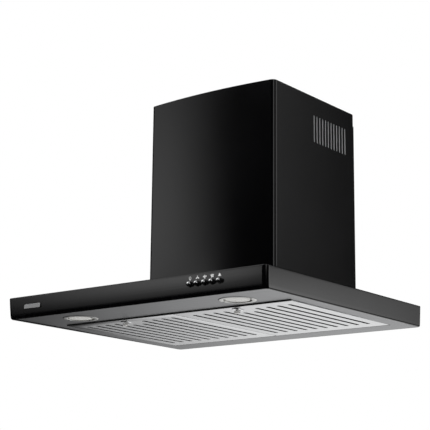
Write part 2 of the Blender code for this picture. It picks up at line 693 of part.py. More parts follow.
def chimney_path(inset):
    """Plan of the chimney's sheet from the left rear flange round the bowed front to the right one."""
    half = CHIMNEY_WIDTH / 2
    bow = (half ** 2 + CHIMNEY_BOW ** 2) / (2 * CHIMNEY_BOW)
    centre_y = bow - CHIMNEY_DEPTH - CHIMNEY_BOW
    fillet_x = half - CHIMNEY_CORNER
    fillet_y = centre_y - sqrt((bow - CHIMNEY_CORNER) ** 2 - fillet_x ** 2)
    lean = atan2(fillet_y - centre_y, fillet_x)
    right = []
    bow_steps, fillet_steps = 12, 6
    for k in range(bow_steps):
        turn = -pi / 2 + (lean + pi / 2) * k / bow_steps
        reach = bow - inset
        right.append((reach * cos(turn), centre_y + reach * sin(turn)))
    for k in range(fillet_steps + 1):
        turn = lean * (1 - k / fillet_steps)
        reach = CHIMNEY_CORNER - inset
        right.append((fillet_x + reach * cos(turn), fillet_y + reach * sin(turn)))
    right.append((half - inset, -inset))
    right.append((half - FLANGE, -inset))
    left = [(-x, y) for x, y in reversed(right[1:])]
    return left + right


def chimney_sheet(inset, low, high):
    """The sheet as a prism, one thickness in from an inset."""
    shape = bmesh.new()
    outline = chimney_path(inset) + list(reversed(chimney_path(inset + SHEET)))
    prism(shape, outline, upright, low, high)
    return shape


def chimneys():
    """Outer chimney with side vents, telescopic inner one, and their two brackets."""
    outer = add_object("outer_chimney", chimney_sheet(0.0, TOP + GAP, CHIMNEY_TOP), "black", 25)
    vents = bmesh.new()
    reach = CHIMNEY_WIDTH / 2 + 5
    for side in (-1, 1):
        near, far = sorted((side * (reach - 12), side * reach))
        for k in range(VENT_COUNT):
            y = VENT_FIRST_Y + VENT_PITCH * k
            prism(vents, capsule(y, VENT_LOW, VENT_HIGH, VENT_WIDTH, 4), sideways, near, far)
    cut(outer, add_object("vent_slots", vents, "black"))
    notch = bmesh.new()
    block(notch, -reach, reach, -3.0, 5.0, CHIMNEY_TOP - 25.5, CHIMNEY_TOP + 5)
    cut(outer, add_object("rear_notch", notch, "black"))
    inner_low = CHIMNEY_TOP - 1.0 - INNER_HEIGHT
    add_object("inner_chimney", chimney_sheet(INNER_INSET, inner_low, CHIMNEY_TOP - 1.0), "bright", 25)
    chimney_bracket("upper_chimney_bracket", INNER_INSET + SHEET + 0.4, CHIMNEY_TOP - 26, CHIMNEY_TOP - 6)
    chimney_bracket("lower_chimney_bracket", SHEET + 0.4, inner_low - 21, inner_low - 0.4)


def chimney_bracket(name, inset, low, high):
    """A U-shaped strap inside a chimney's rear flanges, with a tab along each side."""
    half = CHIMNEY_WIDTH / 2 - inset
    tab = 26.0
    wall = 1.6
    plan = [(-half, -inset), (half, -inset), (half, -inset - tab), (half - wall, -inset - tab),
            (half - wall, -inset - wall), (-half + wall, -inset - wall), (-half + wall, -inset - tab),
            (-half, -inset - tab)]
    shape = bmesh.new()
    prism(shape, plan, upright, low, high)
    add_object(name, shape, "zinc")


def build():
    """Make every piece."""
    clear_scene()
    canopy_shell()
    underside_panel()
    lamps()
    badge()
    push_buttons()
    switch_parts()
    grease_filters()
    motor_box()
    wall_hooks()
    scroll()
    impeller()
    motor()
    electrics()
    outlet()
    chimneys()


build()
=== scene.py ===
"""Looks of a wall-mounted range hood: black enamelled canopy and chimney, brushed underside,
slotted aluminium filters, lamps and push buttons, built round the fixed frame of its parts."""

from math import atan2, cos, pi, radians, sin, sqrt

import bmesh
import bpy
from mathutils import Matrix, Vector


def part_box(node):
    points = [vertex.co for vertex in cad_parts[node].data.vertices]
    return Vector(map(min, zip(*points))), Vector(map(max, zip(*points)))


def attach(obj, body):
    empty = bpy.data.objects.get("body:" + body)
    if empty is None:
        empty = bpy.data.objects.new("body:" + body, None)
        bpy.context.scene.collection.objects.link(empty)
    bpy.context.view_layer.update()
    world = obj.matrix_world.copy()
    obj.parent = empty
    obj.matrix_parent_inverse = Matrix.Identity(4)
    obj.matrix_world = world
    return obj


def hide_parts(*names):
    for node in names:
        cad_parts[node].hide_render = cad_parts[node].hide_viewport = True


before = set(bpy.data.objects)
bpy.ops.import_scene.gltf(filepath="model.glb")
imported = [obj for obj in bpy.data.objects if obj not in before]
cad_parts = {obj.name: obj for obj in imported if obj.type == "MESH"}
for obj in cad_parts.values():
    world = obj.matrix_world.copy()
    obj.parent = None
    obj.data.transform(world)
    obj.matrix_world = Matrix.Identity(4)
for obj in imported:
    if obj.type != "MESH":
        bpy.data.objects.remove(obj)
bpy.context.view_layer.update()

bl_info = {
    "name": "Range Hood",
    "version": (1, 0, 0),
    "blender": (4, 5, 0),
    "location": "View3D > Sidebar > Range Hood",
    "description": "Builds the visible surfaces, materials and studio of a wall-mounted range hood",
    "category": "Object",
}

MM = 0.001
SIDES = (("left", -1), ("right", 1))

# Places read from the frame.
CANOPY_LOW, CANOPY_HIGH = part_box("canopy_shell")
CHIMNEY_LOW, CHIMNEY_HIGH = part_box("outer_chimney")
PANEL_LOW, PANEL_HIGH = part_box("underside_panel")
BOX_LOW, BOX_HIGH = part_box("motor_box")
FRONT = CANOPY_LOW.y
BUTTONS = ["button_%d" % k for k in range(1, 6)]
LATCH_Y = -368.0 * MM
SLOT_FRONT, SLOT_SHORT, SLOT_BACK = -360.0 * MM, -332.0 * MM, -93.0 * MM
VENT_FIRST = -145.0 * MM
VENT_LOW, VENT_HIGH = 338.0 * MM, 393.5 * MM
VENT_COUNT, SLOT_COUNT, SHORT_SLOTS = 12, 10, (4, 5)
STRIP_LIFT = 2.0 * MM
MARK_HEIGHT, MARK_SCALE = 12.2 * MM, 1.65
FLOOR = -0.75

# Radii in millimetres.
BUTTON_HOLE, LAMP_HOLE, LENS_EDGE, RING_MOUTH = 4.75, 31, 23.5, 24.6


def centre_of(node):
    """Middle of a node's box."""
    low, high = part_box(node)
    return (low + high) / 2


# ---------------------------------------------------------------- settings

def length(name, description, default):
    """A length in metres that a user may change."""
    return bpy.props.FloatProperty(name=name, description=description, default=default,
                                   subtype="DISTANCE", unit="LENGTH")


def colour(name, description, code):
    """A colour that a user may change, given as an sRGB hex code."""
    return bpy.props.FloatVectorProperty(name=name, description=description, default=linear(code),
                                         subtype="COLOR", size=4, min=0.0, max=1.0)


def linear(code):
    """sRGB hex to linear RGBA."""
    parts = [int(code[k:k + 2], 16) / 255 for k in (0, 2, 4)]
    return (*[p / 12.92 if p <= 0.04045 else ((p + 0.055) / 1.055) ** 2.4 for p in parts], 1.0)


class HoodSizes(bpy.types.PropertyGroup):
    """Sizes of the sheet metal's edges and fittings."""

    sheet: length("Sheet", "Thickness of the canopy's sheet", 1.2 * MM)
    duct_sheet: length("Duct sheet", "Thickness of the chimneys' sheet", 0.7 * MM)
    corner: length("Canopy corner", "Radius of the canopy's vertical edges", 9 * MM)
    front_roll: length("Front roll", "Radius of the canopy's lower front edge", 6 * MM)
    front_lean: length("Front lean", "How far the canopy's convex front leans back at its foot", 2.4 * MM)
    side_lean: length("Side lean", "How far the canopy's sides lean in at their foot", 2.0 * MM)
    side_roll: length("Side roll", "Radius of the canopy's lower side and back edges", 3 * MM)
    top_roll: length("Top roll", "Radius of the canopy's upper edges", 1.5 * MM)
    chimney_bow: length("Chimney bow", "How far the chimney's front stands out at its middle", 10 * MM)
    chimney_corner: length("Chimney corner", "Radius of the chimney's front edges", 10 * MM)
    slot_width: length("Slot width", "Width of a filter's slots", 7.6 * MM)
    slot_pitch: length("Slot pitch", "Distance between a filter's slots", 23.4 * MM)
    vent_width: length("Vent width", "Width of the chimney's vents", 4.8 * MM)
    vent_pitch: length("Vent pitch", "Distance between the chimney's vents", 10.2 * MM)
    mesh_cell: length("Mesh cell", "Cell of the filters' knitted mesh", 6.5 * MM)


class HoodColours(bpy.types.PropertyGroup):
    """Base colours of the finishes."""

    enamel: colour("Enamel", "Canopy and chimney", "050506")
    panel: colour("Panel steel", "Underside panel", "838486")
    filter: colour("Filter aluminium", "Grease filters", "DCDDDE")
    chrome: colour("Chrome", "Buttons and latches", "E6E7E8")
    lens: colour("Lens", "Frosted lamp lenses", "F1F1EE")
    zinc: colour("Zinc", "Galvanised sheet inside", "A9ABAD")
    floor: colour("Floor", "Floor of the studio", "EDECEA")


# ---------------------------------------------------------------- modelling helpers

def activate(piece):
    """Select one object and nothing else."""
    if bpy.context.object and bpy.context.object.mode != "OBJECT":
        bpy.ops.object.mode_set(mode="OBJECT")
    bpy.ops.object.select_all(action="DESELECT")
    piece.select_set(True)
    bpy.context.view_layer.objects.active = piece


class Editing:
    """Edit mode on one object, with nothing of it selected at first."""

    def __init__(self, piece, kind="FACE"):
        self.piece = piece
        self.kind = kind

    def __enter__(self):
        activate(self.piece)
        bpy.ops.object.mode_set(mode="EDIT")
        bpy.ops.mesh.select_mode(type=self.kind)
        bpy.ops.mesh.select_all(action="DESELECT")
        return self

    def __exit__(self, *trouble):
        bpy.ops.object.mode_set(mode="OBJECT")

    def pick(self, test):
        """Select the elements that pass the test, and return how many there are."""
        mesh = bmesh.from_edit_mesh(self.piece.data)
        bpy.ops.mesh.select_all(action="DESELECT")
        parts = {"VERT": mesh.verts, "EDGE": mesh.edges, "FACE": mesh.faces}[self.kind]
        count = 0
        for part in parts:
            chosen = bool(test(part))
            part.select_set(chosen)
            count += chosen
        mesh.select_flush_mode()
        bmesh.update_edit_mesh(self.piece.data)
        return count


def middle(part):
    """Centre of an edge or a face."""
    points = [v.co for v in part.verts]
    return sum(points, Vector()) / len(points)


def upright_edge(edge):
    """True on an edge along Z."""
    run = edge.verts[1].co - edge.verts[0].co
    return abs(run.z) > 0.999 * run.length


def near(a, b, within=1e-5):
    """True where two lengths agree."""
    return abs(a - b) < within


def along(axis):
    """Test for edges that run along one axis."""
    def test(edge):
        run = edge.verts[1].co - edge.verts[0].co
        return abs(getattr(run, axis)) > 0.99 * run.length
    return test


def level(axis, value):
    """Test for edges whose ends both lie at one place on an axis."""
    return lambda edge: all(near(getattr(v.co, axis), value) for v in edge.verts)


def take_all():
    """Select all of the mesh in edit mode."""
    bpy.ops.mesh.select_all(action="SELECT")


def face_outwards():
    """Turn every face outwards in edit mode."""
    take_all()
    bpy.ops.mesh.normals_make_consistent(inside=False)


def round_edges(piece, *rounds):
    """Bevel edges in turn; each round is a test, a radius and a number of segments."""
    with Editing(piece, "EDGE") as edit:
        for test, radius, segments in rounds:
            edit.pick(test)
            bpy.ops.mesh.bevel(offset=radius, segments=segments, affect="EDGES")


def place(piece):
    """Put an object at the origin with its place in its mesh."""
    activate(piece)
    bpy.ops.object.transform_apply(location=True, rotation=True, scale=True)


def add_box(name, low, high):
    """A box primitive between two corners."""
    bpy.ops.object.select_all(action="DESELECT")
    low, high = Vector(low), Vector(high)
    bpy.ops.mesh.primitive_cube_add(size=1.0, location=(low + high) / 2)
    piece = bpy.context.object
    piece.name = name
    piece.scale = high - low
    place(piece)
    return piece


def add_sheet(name, low, high, height):
    """A flat rectangle at one height."""
    bpy.ops.object.select_all(action="DESELECT")
    at = ((low[0] + high[0]) / 2, (low[1] + high[1]) / 2, height)
    bpy.ops.mesh.primitive_plane_add(size=1.0, location=at)
    piece = bpy.context.object
    piece.name = name
    piece.scale = (high[0] - low[0], high[1] - low[1], 1.0)
    place(piece)
    return piece


def modify(piece, kind, **settings):
    """Add a modifier with its settings and apply it."""
    activate(piece)
    step = piece.modifiers.new(kind.title(), kind)
    for key, value in settings.items():
        setattr(step, key, value)
    bpy.ops.object.modifier_apply(modifier=step.name)
    return piece


def thicken(piece, thickness):
    """Give a surface its sheet's thickness on the inside."""
    return modify(piece, "SOLIDIFY", thickness=thickness, offset=-1.0, use_even_offset=True)


def subtract(piece, *cutters):
    """Cut pieces away and remove the cutters."""
    for cutter in cutters:
        modify(piece, "BOOLEAN", operation="DIFFERENCE", solver="EXACT", object=cutter)
        bpy.data.objects.remove(cutter)
    return piece


def join(name, pieces):
    """Make several objects one."""
    activate(pieces[0])
    for piece in pieces[1:]:
        piece.select_set(True)
    if len(pieces) > 1:
        bpy.ops.object.join()
    pieces[0].name = name
    return pieces[0]


def mirrored(piece, name):
    """A copy mirrored in X, with its faces turned out again."""
    twin = piece.copy()
    twin.data = piece.data.copy()
    twin.name = name
    bpy.context.collection.objects.link(twin)
    twin.data.transform(Matrix.Diagonal((-1, 1, 1, 1)))
    with Editing(twin):
        take_all()
        bpy.ops.mesh.flip_normals()
    return twin


def trace(name, points):
    """A line of edges: one vertex, extruded from point to point."""
    bpy.ops.object.select_all(action="DESELECT")
    bpy.ops.mesh.primitive_plane_add(size=MM, location=points[0])
    piece = bpy.context.object
    piece.name = name
    place(piece)
    with Editing(piece, "VERT"):
        take_all()
        bpy.ops.mesh.merge(type="CENTER")
        take_all()
        for start, end in zip(points, points[1:]):
            bpy.ops.mesh.extrude_vertices_move(TRANSFORM_OT_translate={"value": end - start})
    return piece


def tidy_faces(piece):
    """Merge doubles and turn the faces outwards."""
    with Editing(piece, "VERT"):
        take_all()
        bpy.ops.mesh.remove_doubles(threshold=1e-6)
        face_outwards()
    return piece


def lathe(name, profile, centre, axis="Z", steps=64):
    """Turn a profile of (radius, height) in millimetres about an axis through a centre in metres."""
    way = {"X": Vector((1, 0, 0)), "Y": Vector((0, 1, 0)), "Z": Vector((0, 0, 1))}[axis]
    across = Vector((0, 0, 1)) if axis == "Y" else Vector((0, 1, 0))
    centre = Vector(centre)
    piece = trace(name, [centre + (across * radius + way * height) * MM for radius, height in profile])
    with Editing(piece, "VERT"):
        take_all()
        bpy.ops.mesh.spin(steps=steps, angle=2 * pi, center=centre, axis=way)
    return tidy_faces(piece)


def drill(name, radius, reach, centre, axis, steps):
    """A round cutter that reaches as far to either side of its centre."""
    return lathe(name, [(0, -reach), (radius, -reach), (radius, reach), (0, reach)], centre, axis, steps)


def prism(name, points, travel):
    """A closed outline of points, filled and pushed along a vector."""
    piece = trace(name, points)
    with Editing(piece, "VERT"):
        take_all()
        bpy.ops.mesh.edge_face_add()
        take_all()
        bpy.ops.mesh.extrude_region_move(TRANSFORM_OT_translate={"value": travel})
    return tidy_faces(piece)


def capsule(name, cx, y0, y1, width, low, high):
    """A slot-shaped post: a box whose upright edges are rounded to half its width."""
    piece = add_box(name, (cx - width / 2, y0, low), (cx + width / 2, y1, high))
    round_edges(piece, (upright_edge, width * 0.499, 6))
    return piece


def smooth(piece, angle=35.0, keep_flats=True):
    """Shade smooth below an angle, with the flats' own normals kept flat."""
    activate(piece)
    bpy.ops.object.shade_smooth_by_angle(angle=radians(angle))
    if keep_flats:
        modify(piece, "WEIGHTED_NORMAL", keep_sharp=True, weight=90)
    return piece


def dress(piece, look):
    """Give a piece one material."""
    piece.data.materials.clear()
    piece.data.materials.append(look)
    return piece


def deliver(piece, look, body, slot, *nodes):
    """Finish a piece: material, body and the nodes it stands for. The slot is not used."""
    dress(piece, look)
    place(piece)
    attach(piece, body)
    if nodes:
        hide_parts(*nodes)
    return piece


# ---------------------------------------------------------------- materials

def node(tree, kind, settings=None, links=None):
    """Add a node, with its settings (sockets or properties) and its links."""
    made = tree.nodes.new("ShaderNode" + kind)
    for key, value in (settings or {}).items():
        if isinstance(key, int) or key in made.inputs:
            made.inputs[key].default_value = value
        else:
            setattr(made, key, value)
    for key, source in (links or {}).items():
        tree.links.new(source, made.inputs[key])
    return made


def new_look(name):
    """An empty material with its output; returns the material, its tree and object coordinates."""
    look = bpy.data.materials.new(name)
    look.use_nodes = True
    look.node_tree.nodes.clear()
    place_node = node(look.node_tree, "TexCoord")
    return look, look.node_tree, place_node.outputs["Object"]


def finish_look(look, tree, settings, tint, rough=None, bump=None):
    """Join colour, roughness and any bump (height, strength, depth in mm) to the shader and the output."""
    links = {"Base Color": tint}
    if rough:
        links["Roughness"] = rough
    if bump:
        height, strength, depth = bump
        rise = node(tree, "Bump", {"Strength": strength, "Distance": depth * MM}, {"Height": height})
        links["Normal"] = rise.outputs["Normal"]
    shader = node(tree, "BsdfPrincipled", settings, links)
    node(tree, "OutputMaterial", links={"Surface": shader.outputs[0]})
    return look


def ramp(tree, source, low, high, low_colour, high_colour):
    """A two-stop colour ramp."""
    made = node(tree, "ValToRGB", links={"Fac": source})
    made.color_ramp.elements[0].position = low
    made.color_ramp.elements[1].position = high
    made.color_ramp.elements[0].color = low_colour
    made.color_ramp.elements[1].color = high_colour
    return made.outputs["Color"]


def span(tree, source, low, high):
    """Map 0..1 to a range of roughness."""
    made = node(tree, "MapRange", {"To Min": low, "To Max": high}, {"Value": source})
    return made.outputs["Result"]


def shade(code, factor):
    """A linear colour made lighter or darker."""
    return (*[min(1.0, part * factor) for part in code[:3]], 1.0)


def enamel_look(code):
    """Black stoved enamel on steel: sprayed, so a very slight orange peel under a clear gloss."""
    look, tree, at = new_look("stoved_black_enamel")
    peel = node(tree, "TexNoise", {"Scale": 1 / (4 * MM), "Detail": 2.0}, {"Vector": at})
    cloud = node(tree, "TexNoise", {"Scale": 1 / (90 * MM), "Detail": 3.0}, {"Vector": at})
    tint = ramp(tree, cloud.outputs["Fac"], 0.3, 0.7, shade(code, 0.8), shade(code, 1.25))
    rough = span(tree, cloud.outputs["Fac"], 0.11, 0.16)
    bump = (peel.outputs["Fac"], 0.02, 0.05)
    return finish_look(look, tree, {"Metallic": 0.0, "IOR": 1.52}, tint, rough, bump)


def brushed_look(name, code, along_axis, line, low, high, lift):
    """Brushed or rolled metal: long fine lines along one axis; line is their spacing.

    Real lines are near 0.1 mm; they are drawn as coarse as they need to show.
    """
    look, tree, at = new_look(name)
    fine = 1 / line
    stretch = [fine / 60 if axis == along_axis else fine for axis in "XYZ"]
    mapped = node(tree, "Mapping", {"Scale": stretch}, {"Vector": at})
    lines = node(tree, "TexNoise", {"Scale": 1.0, "Detail": 4.0, "Roughness": 0.65},
                 {"Vector": mapped.outputs["Vector"]})
    cloud = node(tree, "TexNoise", {"Scale": 1 / (120 * MM), "Detail": 3.0}, {"Vector": at})
    mixed = node(tree, "Mix", {"data_type": "FLOAT", 0: 0.25},
                 {2: lines.outputs["Fac"], 3: cloud.outputs["Fac"]})
    tint = ramp(tree, mixed.outputs[0], 0.35, 0.65, shade(code, 1 - lift), shade(code, 1 + lift))
    rough = span(tree, mixed.outputs[0], low, high)
    return finish_look(look, tree, {"Metallic": 1.0}, tint, rough, (lines.outputs["Fac"], 0.12, 0.05))


def polished_look(name, code, roughness, smear):
    """Polished plated metal: near-mirror, with faint wiping marks in its roughness."""
    look, tree, at = new_look(name)
    marks = node(tree, "TexNoise", {"Scale": 1 / (3 * MM), "Detail": 4.0}, {"Vector": at})
    rough = span(tree, marks.outputs["Fac"], roughness, roughness + smear)
    tint = ramp(tree, marks.outputs["Fac"], 0.3, 0.7, shade(code, 0.94), code)
    return finish_look(look, tree, {"Metallic": 1.0}, tint, rough)


def spun_look(name, code, centre):
    """Spun aluminium: rings from the lathe tool, about 0.4 mm apart, round a centre on Z."""
    look, tree, at = new_look(name)
    moved = node(tree, "Mapping", {"Location": (-centre.x, -centre.y, 0.0)}, {"Vector": at})
    rings = node(tree, "TexWave", {"wave_type": "RINGS", "rings_direction": "Z", "Scale": 1 / (2.5 * MM),
                                   "Distortion": 0.4, "Detail": 1.0}, {"Vector": moved.outputs["Vector"]})
    rough = span(tree, rings.outputs["Fac"], 0.28, 0.40)
    tint = ramp(tree, rings.outputs["Fac"], 0.0, 1.0, shade(code, 0.92), shade(code, 1.04))
    return finish_look(look, tree, {"Metallic": 1.0}, tint, rough, (rings.outputs["Fac"], 0.08, 0.05))


def lens_look(code):
    """Sand-blasted glass: pale, softly scattering, with the grit's fine bumps."""
    look, tree, at = new_look("frosted_glass")
    grit = node(tree, "TexNoise", {"Scale": 1 / (0.8 * MM), "Detail": 3.0}, {"Vector": at})
    rough = span(tree, grit.outputs["Fac"], 0.35, 0.55)
    tint = ramp(tree, grit.outputs["Fac"], 0.2, 0.8, shade(code, 0.96), code)
    bump = (grit.outputs["Fac"], 0.15, 0.05)
    return finish_look(look, tree, {"IOR": 1.5, "Coat Weight": 0.2}, tint, rough, bump)


def galvanised_look(code):
    """Hot-dip galvanised sheet: flat crystals (spangle) about 12 mm across, each of its own tone."""
    look, tree, at = new_look("galvanised_sheet")
    cells = node(tree, "TexVoronoi", {"feature": "F1", "Scale": 1 / (12 * MM)}, {"Vector": at})
    grey = node(tree, "RGBToBW", links={"Color": cells.outputs["Color"]})
    tint = ramp(tree, grey.outputs["Val"], 0.1, 0.9, shade(code, 0.78), shade(code, 1.15))
    rough = span(tree, grey.outputs["Val"], 0.36, 0.56)
    return finish_look(look, tree, {"Metallic": 1.0}, tint, rough)


def moulded_look(name, code, roughness, grain=0.9):
    """Moulded plastic or rubber: a fine spark-eroded grain, with slight changes of tone."""
    look, tree, at = new_look(name)
    specks = node(tree, "TexNoise", {"Scale": 1 / (grain * MM), "Detail": 2.0}, {"Vector": at})
    tint = ramp(tree, specks.outputs["Fac"], 0.3, 0.7, shade(linear(code), 0.88), shade(linear(code), 1.1))
    rough = span(tree, specks.outputs["Fac"], roughness - 0.05, roughness + 0.08)
    return finish_look(look, tree, {"IOR": 1.5}, tint, rough, (specks.outputs["Fac"], 0.2, 0.08))


def floor_look(code):
    """Matt painted board: even, with a very faint mottle."""
    look, tree, at = new_look("matt_painted_board")
    mottle = node(tree, "TexNoise", {"Scale": 1 / (60 * MM), "Detail": 2.0}, {"Vector": at})
    tint = ramp(tree, mottle.outputs["Fac"], 0.3, 0.7, shade(code, 0.98), code)
    return finish_look(look, tree, {"Roughness": 0.9}, tint)


LOOKS = {}


def make_looks():
    """All the finishes, made once."""
    tones = bpy.context.scene.hood_colours
    LOOKS["enamel"] = enamel_look(tones.enamel)
    LOOKS["panel"] = brushed_look("brushed_stainless", tones.panel, "X", 2.2 * MM, 0.30, 0.42, 0.3)
    LOOKS["filter"] = brushed_look("rolled_aluminium", tones.filter, "Y", 1.2 * MM, 0.26, 0.34, 0.05)
    # The upper chimney's pale satin steel makes the vents read light; the real sheet is likely black
    # enamel, so this pale tone is painted light.
    LOOKS["duct"] = brushed_look("pale_duct_steel_painted_light", linear("D2D3D4"), "Z", 1.0 * MM, 0.6, 0.72, 0.05)
    LOOKS["chrome"] = polished_look("chromium_plate", tones.chrome, 0.05, 0.07)
    # The latch knob is chrome-plated; this near-white matt look is a painted reflection of the bright
    # light it mirrors.
    LOOKS["tab"] = moulded_look("white_latch_painted_reflection", "F4F4F3", 0.25, 0.2)
    LOOKS["lens"] = lens_look(tones.lens)
    LOOKS["zinc"] = galvanised_look(tones.zinc)
    # The knitted aluminium wire is given a dark grey, darker than the filter's aluminium: painted shade of
    # the pad inside the tray.
    LOOKS["wire"] = polished_look("aluminium_wire_painted_shade", linear("626364"), 0.3, 0.1)
    LOOKS["dark_plastic"] = moulded_look("black_polypropylene", "1B1B1C", 0.48)
    LOOKS["pale_plastic"] = moulded_look("natural_nylon", "BFBEB6", 0.45)
    LOOKS["rubber"] = moulded_look("nitrile_rubber", "242424", 0.75, 0.6)
    LOOKS["motor"] = moulded_look("motor_enamel", "3A3B3D", 0.42, 1.4)
    LOOKS["print"] = moulded_look("screen_print_ink", "FFFFFF", 0.5, 0.5)
    LOOKS["badge"] = brushed_look("satin_aluminium_plate", linear("BDBEBF"), "X", 0.6 * MM, 0.3, 0.4, 0.05)
    LOOKS["floor"] = floor_look(tones.floor)
    for name, _ in SIDES:
        centre = centre_of("lamp_ring_" + name)
        LOOKS["spun_" + name] = spun_look("spun_aluminium_" + name, linear("D3D3D0"), centre)


# ---------------------------------------------------------------- canopy

def front_at(height):
    """Y of the canopy's slightly convex front at one height: upright at the top, leaning back below."""
    sizes = bpy.context.scene.hood_sizes
    down = max(0.0, CANOPY_HIGH.z - 2 * MM - height) / (CANOPY_HIGH.z - CANOPY_LOW.z - 8 * MM)
    return FRONT + sizes.front_lean * (0.5 * down + 0.5 * down ** 2)


def canopy_block():
    """The canopy as a closed block with its rounded corners, convex front and rolled edges."""
    sizes = bpy.context.scene.hood_sizes
    piece = add_box("canopy_skin", CANOPY_LOW, CANOPY_HIGH)
    round_edges(piece, (upright_edge, sizes.corner, 10))
    with Editing(piece):
        for step in range(1, 8):
            take_all()
            bpy.ops.mesh.bisect(plane_co=(0, 0, CANOPY_HIGH.z - 4.5 * MM * step), plane_no=(0, 0, 1))
    with Editing(piece, "VERT") as edit:
        heights = sorted({round(v.co.z, 6) for v in piece.data.vertices})
        end = CANOPY_HIGH.x - sizes.corner - MM
        for height in heights:
            edit.pick(lambda v: near(v.co.z, height) and v.co.y < FRONT + sizes.corner + MM)
            bpy.ops.transform.translate(value=(0, front_at(height) - FRONT, 0))
            lean = sizes.side_lean * (CANOPY_HIGH.z - height) / (CANOPY_HIGH.z - CANOPY_LOW.z)
            for side in (-1, 1):
                edit.pick(lambda v: near(v.co.z, height) and side * v.co.x > end)
                bpy.ops.transform.translate(value=(-side * lean, 0, 0))
    weigh_edges(piece, sizes)
    modify(piece, "BEVEL", limit_method="WEIGHT", width=sizes.front_roll, segments=8)
    return piece


def weigh_edges(piece, sizes):
    """Bevel weights: 1 on the lower front edge, less on the other lower edges and the upper ones."""
    mesh = bmesh.new()
    mesh.from_mesh(piece.data)
    layer = mesh.edges.layers.float.new("bevel_weight_edge")
    side = sizes.side_roll / sizes.front_roll
    for edge in mesh.edges:
        run = edge.verts[1].co - edge.verts[0].co
        at = middle(edge)
        if abs(run.z) > 1e-6:
            continue
        if near(at.z, CANOPY_HIGH.z):
            edge[layer] = sizes.top_roll / sizes.front_roll
        elif near(at.z, CANOPY_LOW.z):
            facing = abs(run.normalized().x) ** 2 if at.y < FRONT + 2 * sizes.corner else 0.0
            edge[layer] = side + (1 - side) * facing
    mesh.to_mesh(piece.data)
    mesh.free()


def make_canopy():
    """Canopy shell: opened below, with its sheet's thickness, the motor's opening and the button holes."""
    sizes = bpy.context.scene.hood_sizes
    piece = canopy_block()
    with Editing(piece) as edit:
        edit.pick(lambda f: f.normal.z < -0.99 and near(middle(f).z, CANOPY_LOW.z))
        bpy.ops.mesh.inset(thickness=1.0 * MM, depth=0.0)
        edit.pick(lambda f: f.normal.z < -0.99 and f.calc_area() > 0.1)
        bpy.ops.mesh.delete(type="FACE")
    thicken(piece, sizes.sheet)
    cutters = [add_box("opening", (BOX_LOW.x + 8 * MM, BOX_LOW.y + 8 * MM, 0.0),
                       (BOX_HIGH.x - 8 * MM, BOX_HIGH.y - 8 * MM, CANOPY_HIGH.z + 5 * MM))]
    for button in BUTTONS:
        centre = centre_of(button)
        cutters.append(drill("hole", BUTTON_HOLE, 6, (centre.x, FRONT, centre.z), "Y", 40))
    subtract(piece, *cutters)
    smooth(piece)
    deliver(piece, LOOKS["enamel"], "hood", "black_enamel", "canopy_shell")


def make_badge():
    """Blank satin plate with softened edges."""
    low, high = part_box("badge_plate")
    piece = add_box("blank_badge", (low.x, low.y, low.z), (high.x, FRONT + 1.8 * MM, high.z))
    round_edges(piece, (along("y"), 1.6 * MM, 6), (level("y", low.y), 0.25 * MM, 3))
    smooth(piece)
    deliver(piece, LOOKS["badge"], "hood", "satin_ring", "badge_plate")


def print_front(height):
    """Two Y values that hold a printed mark in the canopy's skin and a little proud of it."""
    return front_at(height) - 0.12 * MM, front_at(height) + 0.3 * MM


def printed_ring(cx, cz):
    """Upright oval, the mark for off."""
    front, back = print_front(cz)
    centre = Vector((cx, front, cz))
    profile = [(1.9, 0), (1.9, (back - front) / MM), (1.3, (back - front) / MM), (1.3, 0), (1.9, 0)]
    piece = lathe("mark_off", profile, centre, "Y", 32)
    narrow = Matrix.Diagonal((0.72, 1, 1.15, 1))
    piece.data.transform(Matrix.Translation(centre) @ narrow @ Matrix.Translation(-centre))
    return piece


def printed_fan(cx, cz, blades):
    """Small fan with a number of blades, the mark for a speed."""
    front, back = print_front(cz)
    parts = []
    for k in range(blades):
        turn = 2 * pi * k / blades + pi / 2
        outline = []
        for j in range(14):
            around = 2 * pi * j / 14
            along, across = 1.45 + 0.95 * cos(around), 0.62 * sin(around) + 0.22 * cos(around)
            outline.append(Vector((cx + (along * cos(turn) - across * sin(turn)) * MM, front,
                                   cz + (along * sin(turn) + across * cos(turn)) * MM)))
        parts.append(prism("blade", outline, (0, back - front, 0)))
    profile = [(0, 0), (0.45, 0), (0.45, (back - front) / MM), (0, (back - front) / MM)]
    parts.append(lathe("hub", profile, (cx, front, cz), "Y", 16))
    return join("mark_speed_%d" % blades, parts)


def printed_lamp(cx, cz):
    """Small cone with a cap, the mark for the lamps."""
    front, back = print_front(cz)
    cone = [(-0.5, 0.9), (0.5, 0.9), (2.1, -1.5), (-2.1, -1.5)]
    cap = [(-0.5, 2.1), (0.5, 2.1), (0.5, 1.2), (-0.5, 1.2)]
    parts = []
    for shape in (cone, cap):
        outline = [Vector((cx + u * MM, front, cz + v * MM)) for u, v in shape]
        parts.append(prism("lamp", outline, (0, back - front, 0)))
    return join("mark_lamp", parts)


def make_marks():
    """Printed marks above the buttons: off, three speeds and the lamps."""
    places = [centre_of(button).x for button in BUTTONS]
    marks = [printed_ring(places[0], MARK_HEIGHT)]
    marks += [printed_fan(places[k], MARK_HEIGHT, k + 2) for k in (1, 2, 3)]
    marks.append(printed_lamp(places[4], MARK_HEIGHT))
    grow = Matrix.Diagonal((MARK_SCALE, 1, MARK_SCALE, 1))
    for piece, across in zip(marks, places):
        at = Vector((across, 0, MARK_HEIGHT))
        piece.data.transform(Matrix.Translation(at) @ grow @ Matrix.Translation(-at))
        deliver(piece, LOOKS["print"], "hood", "pale_plastic")


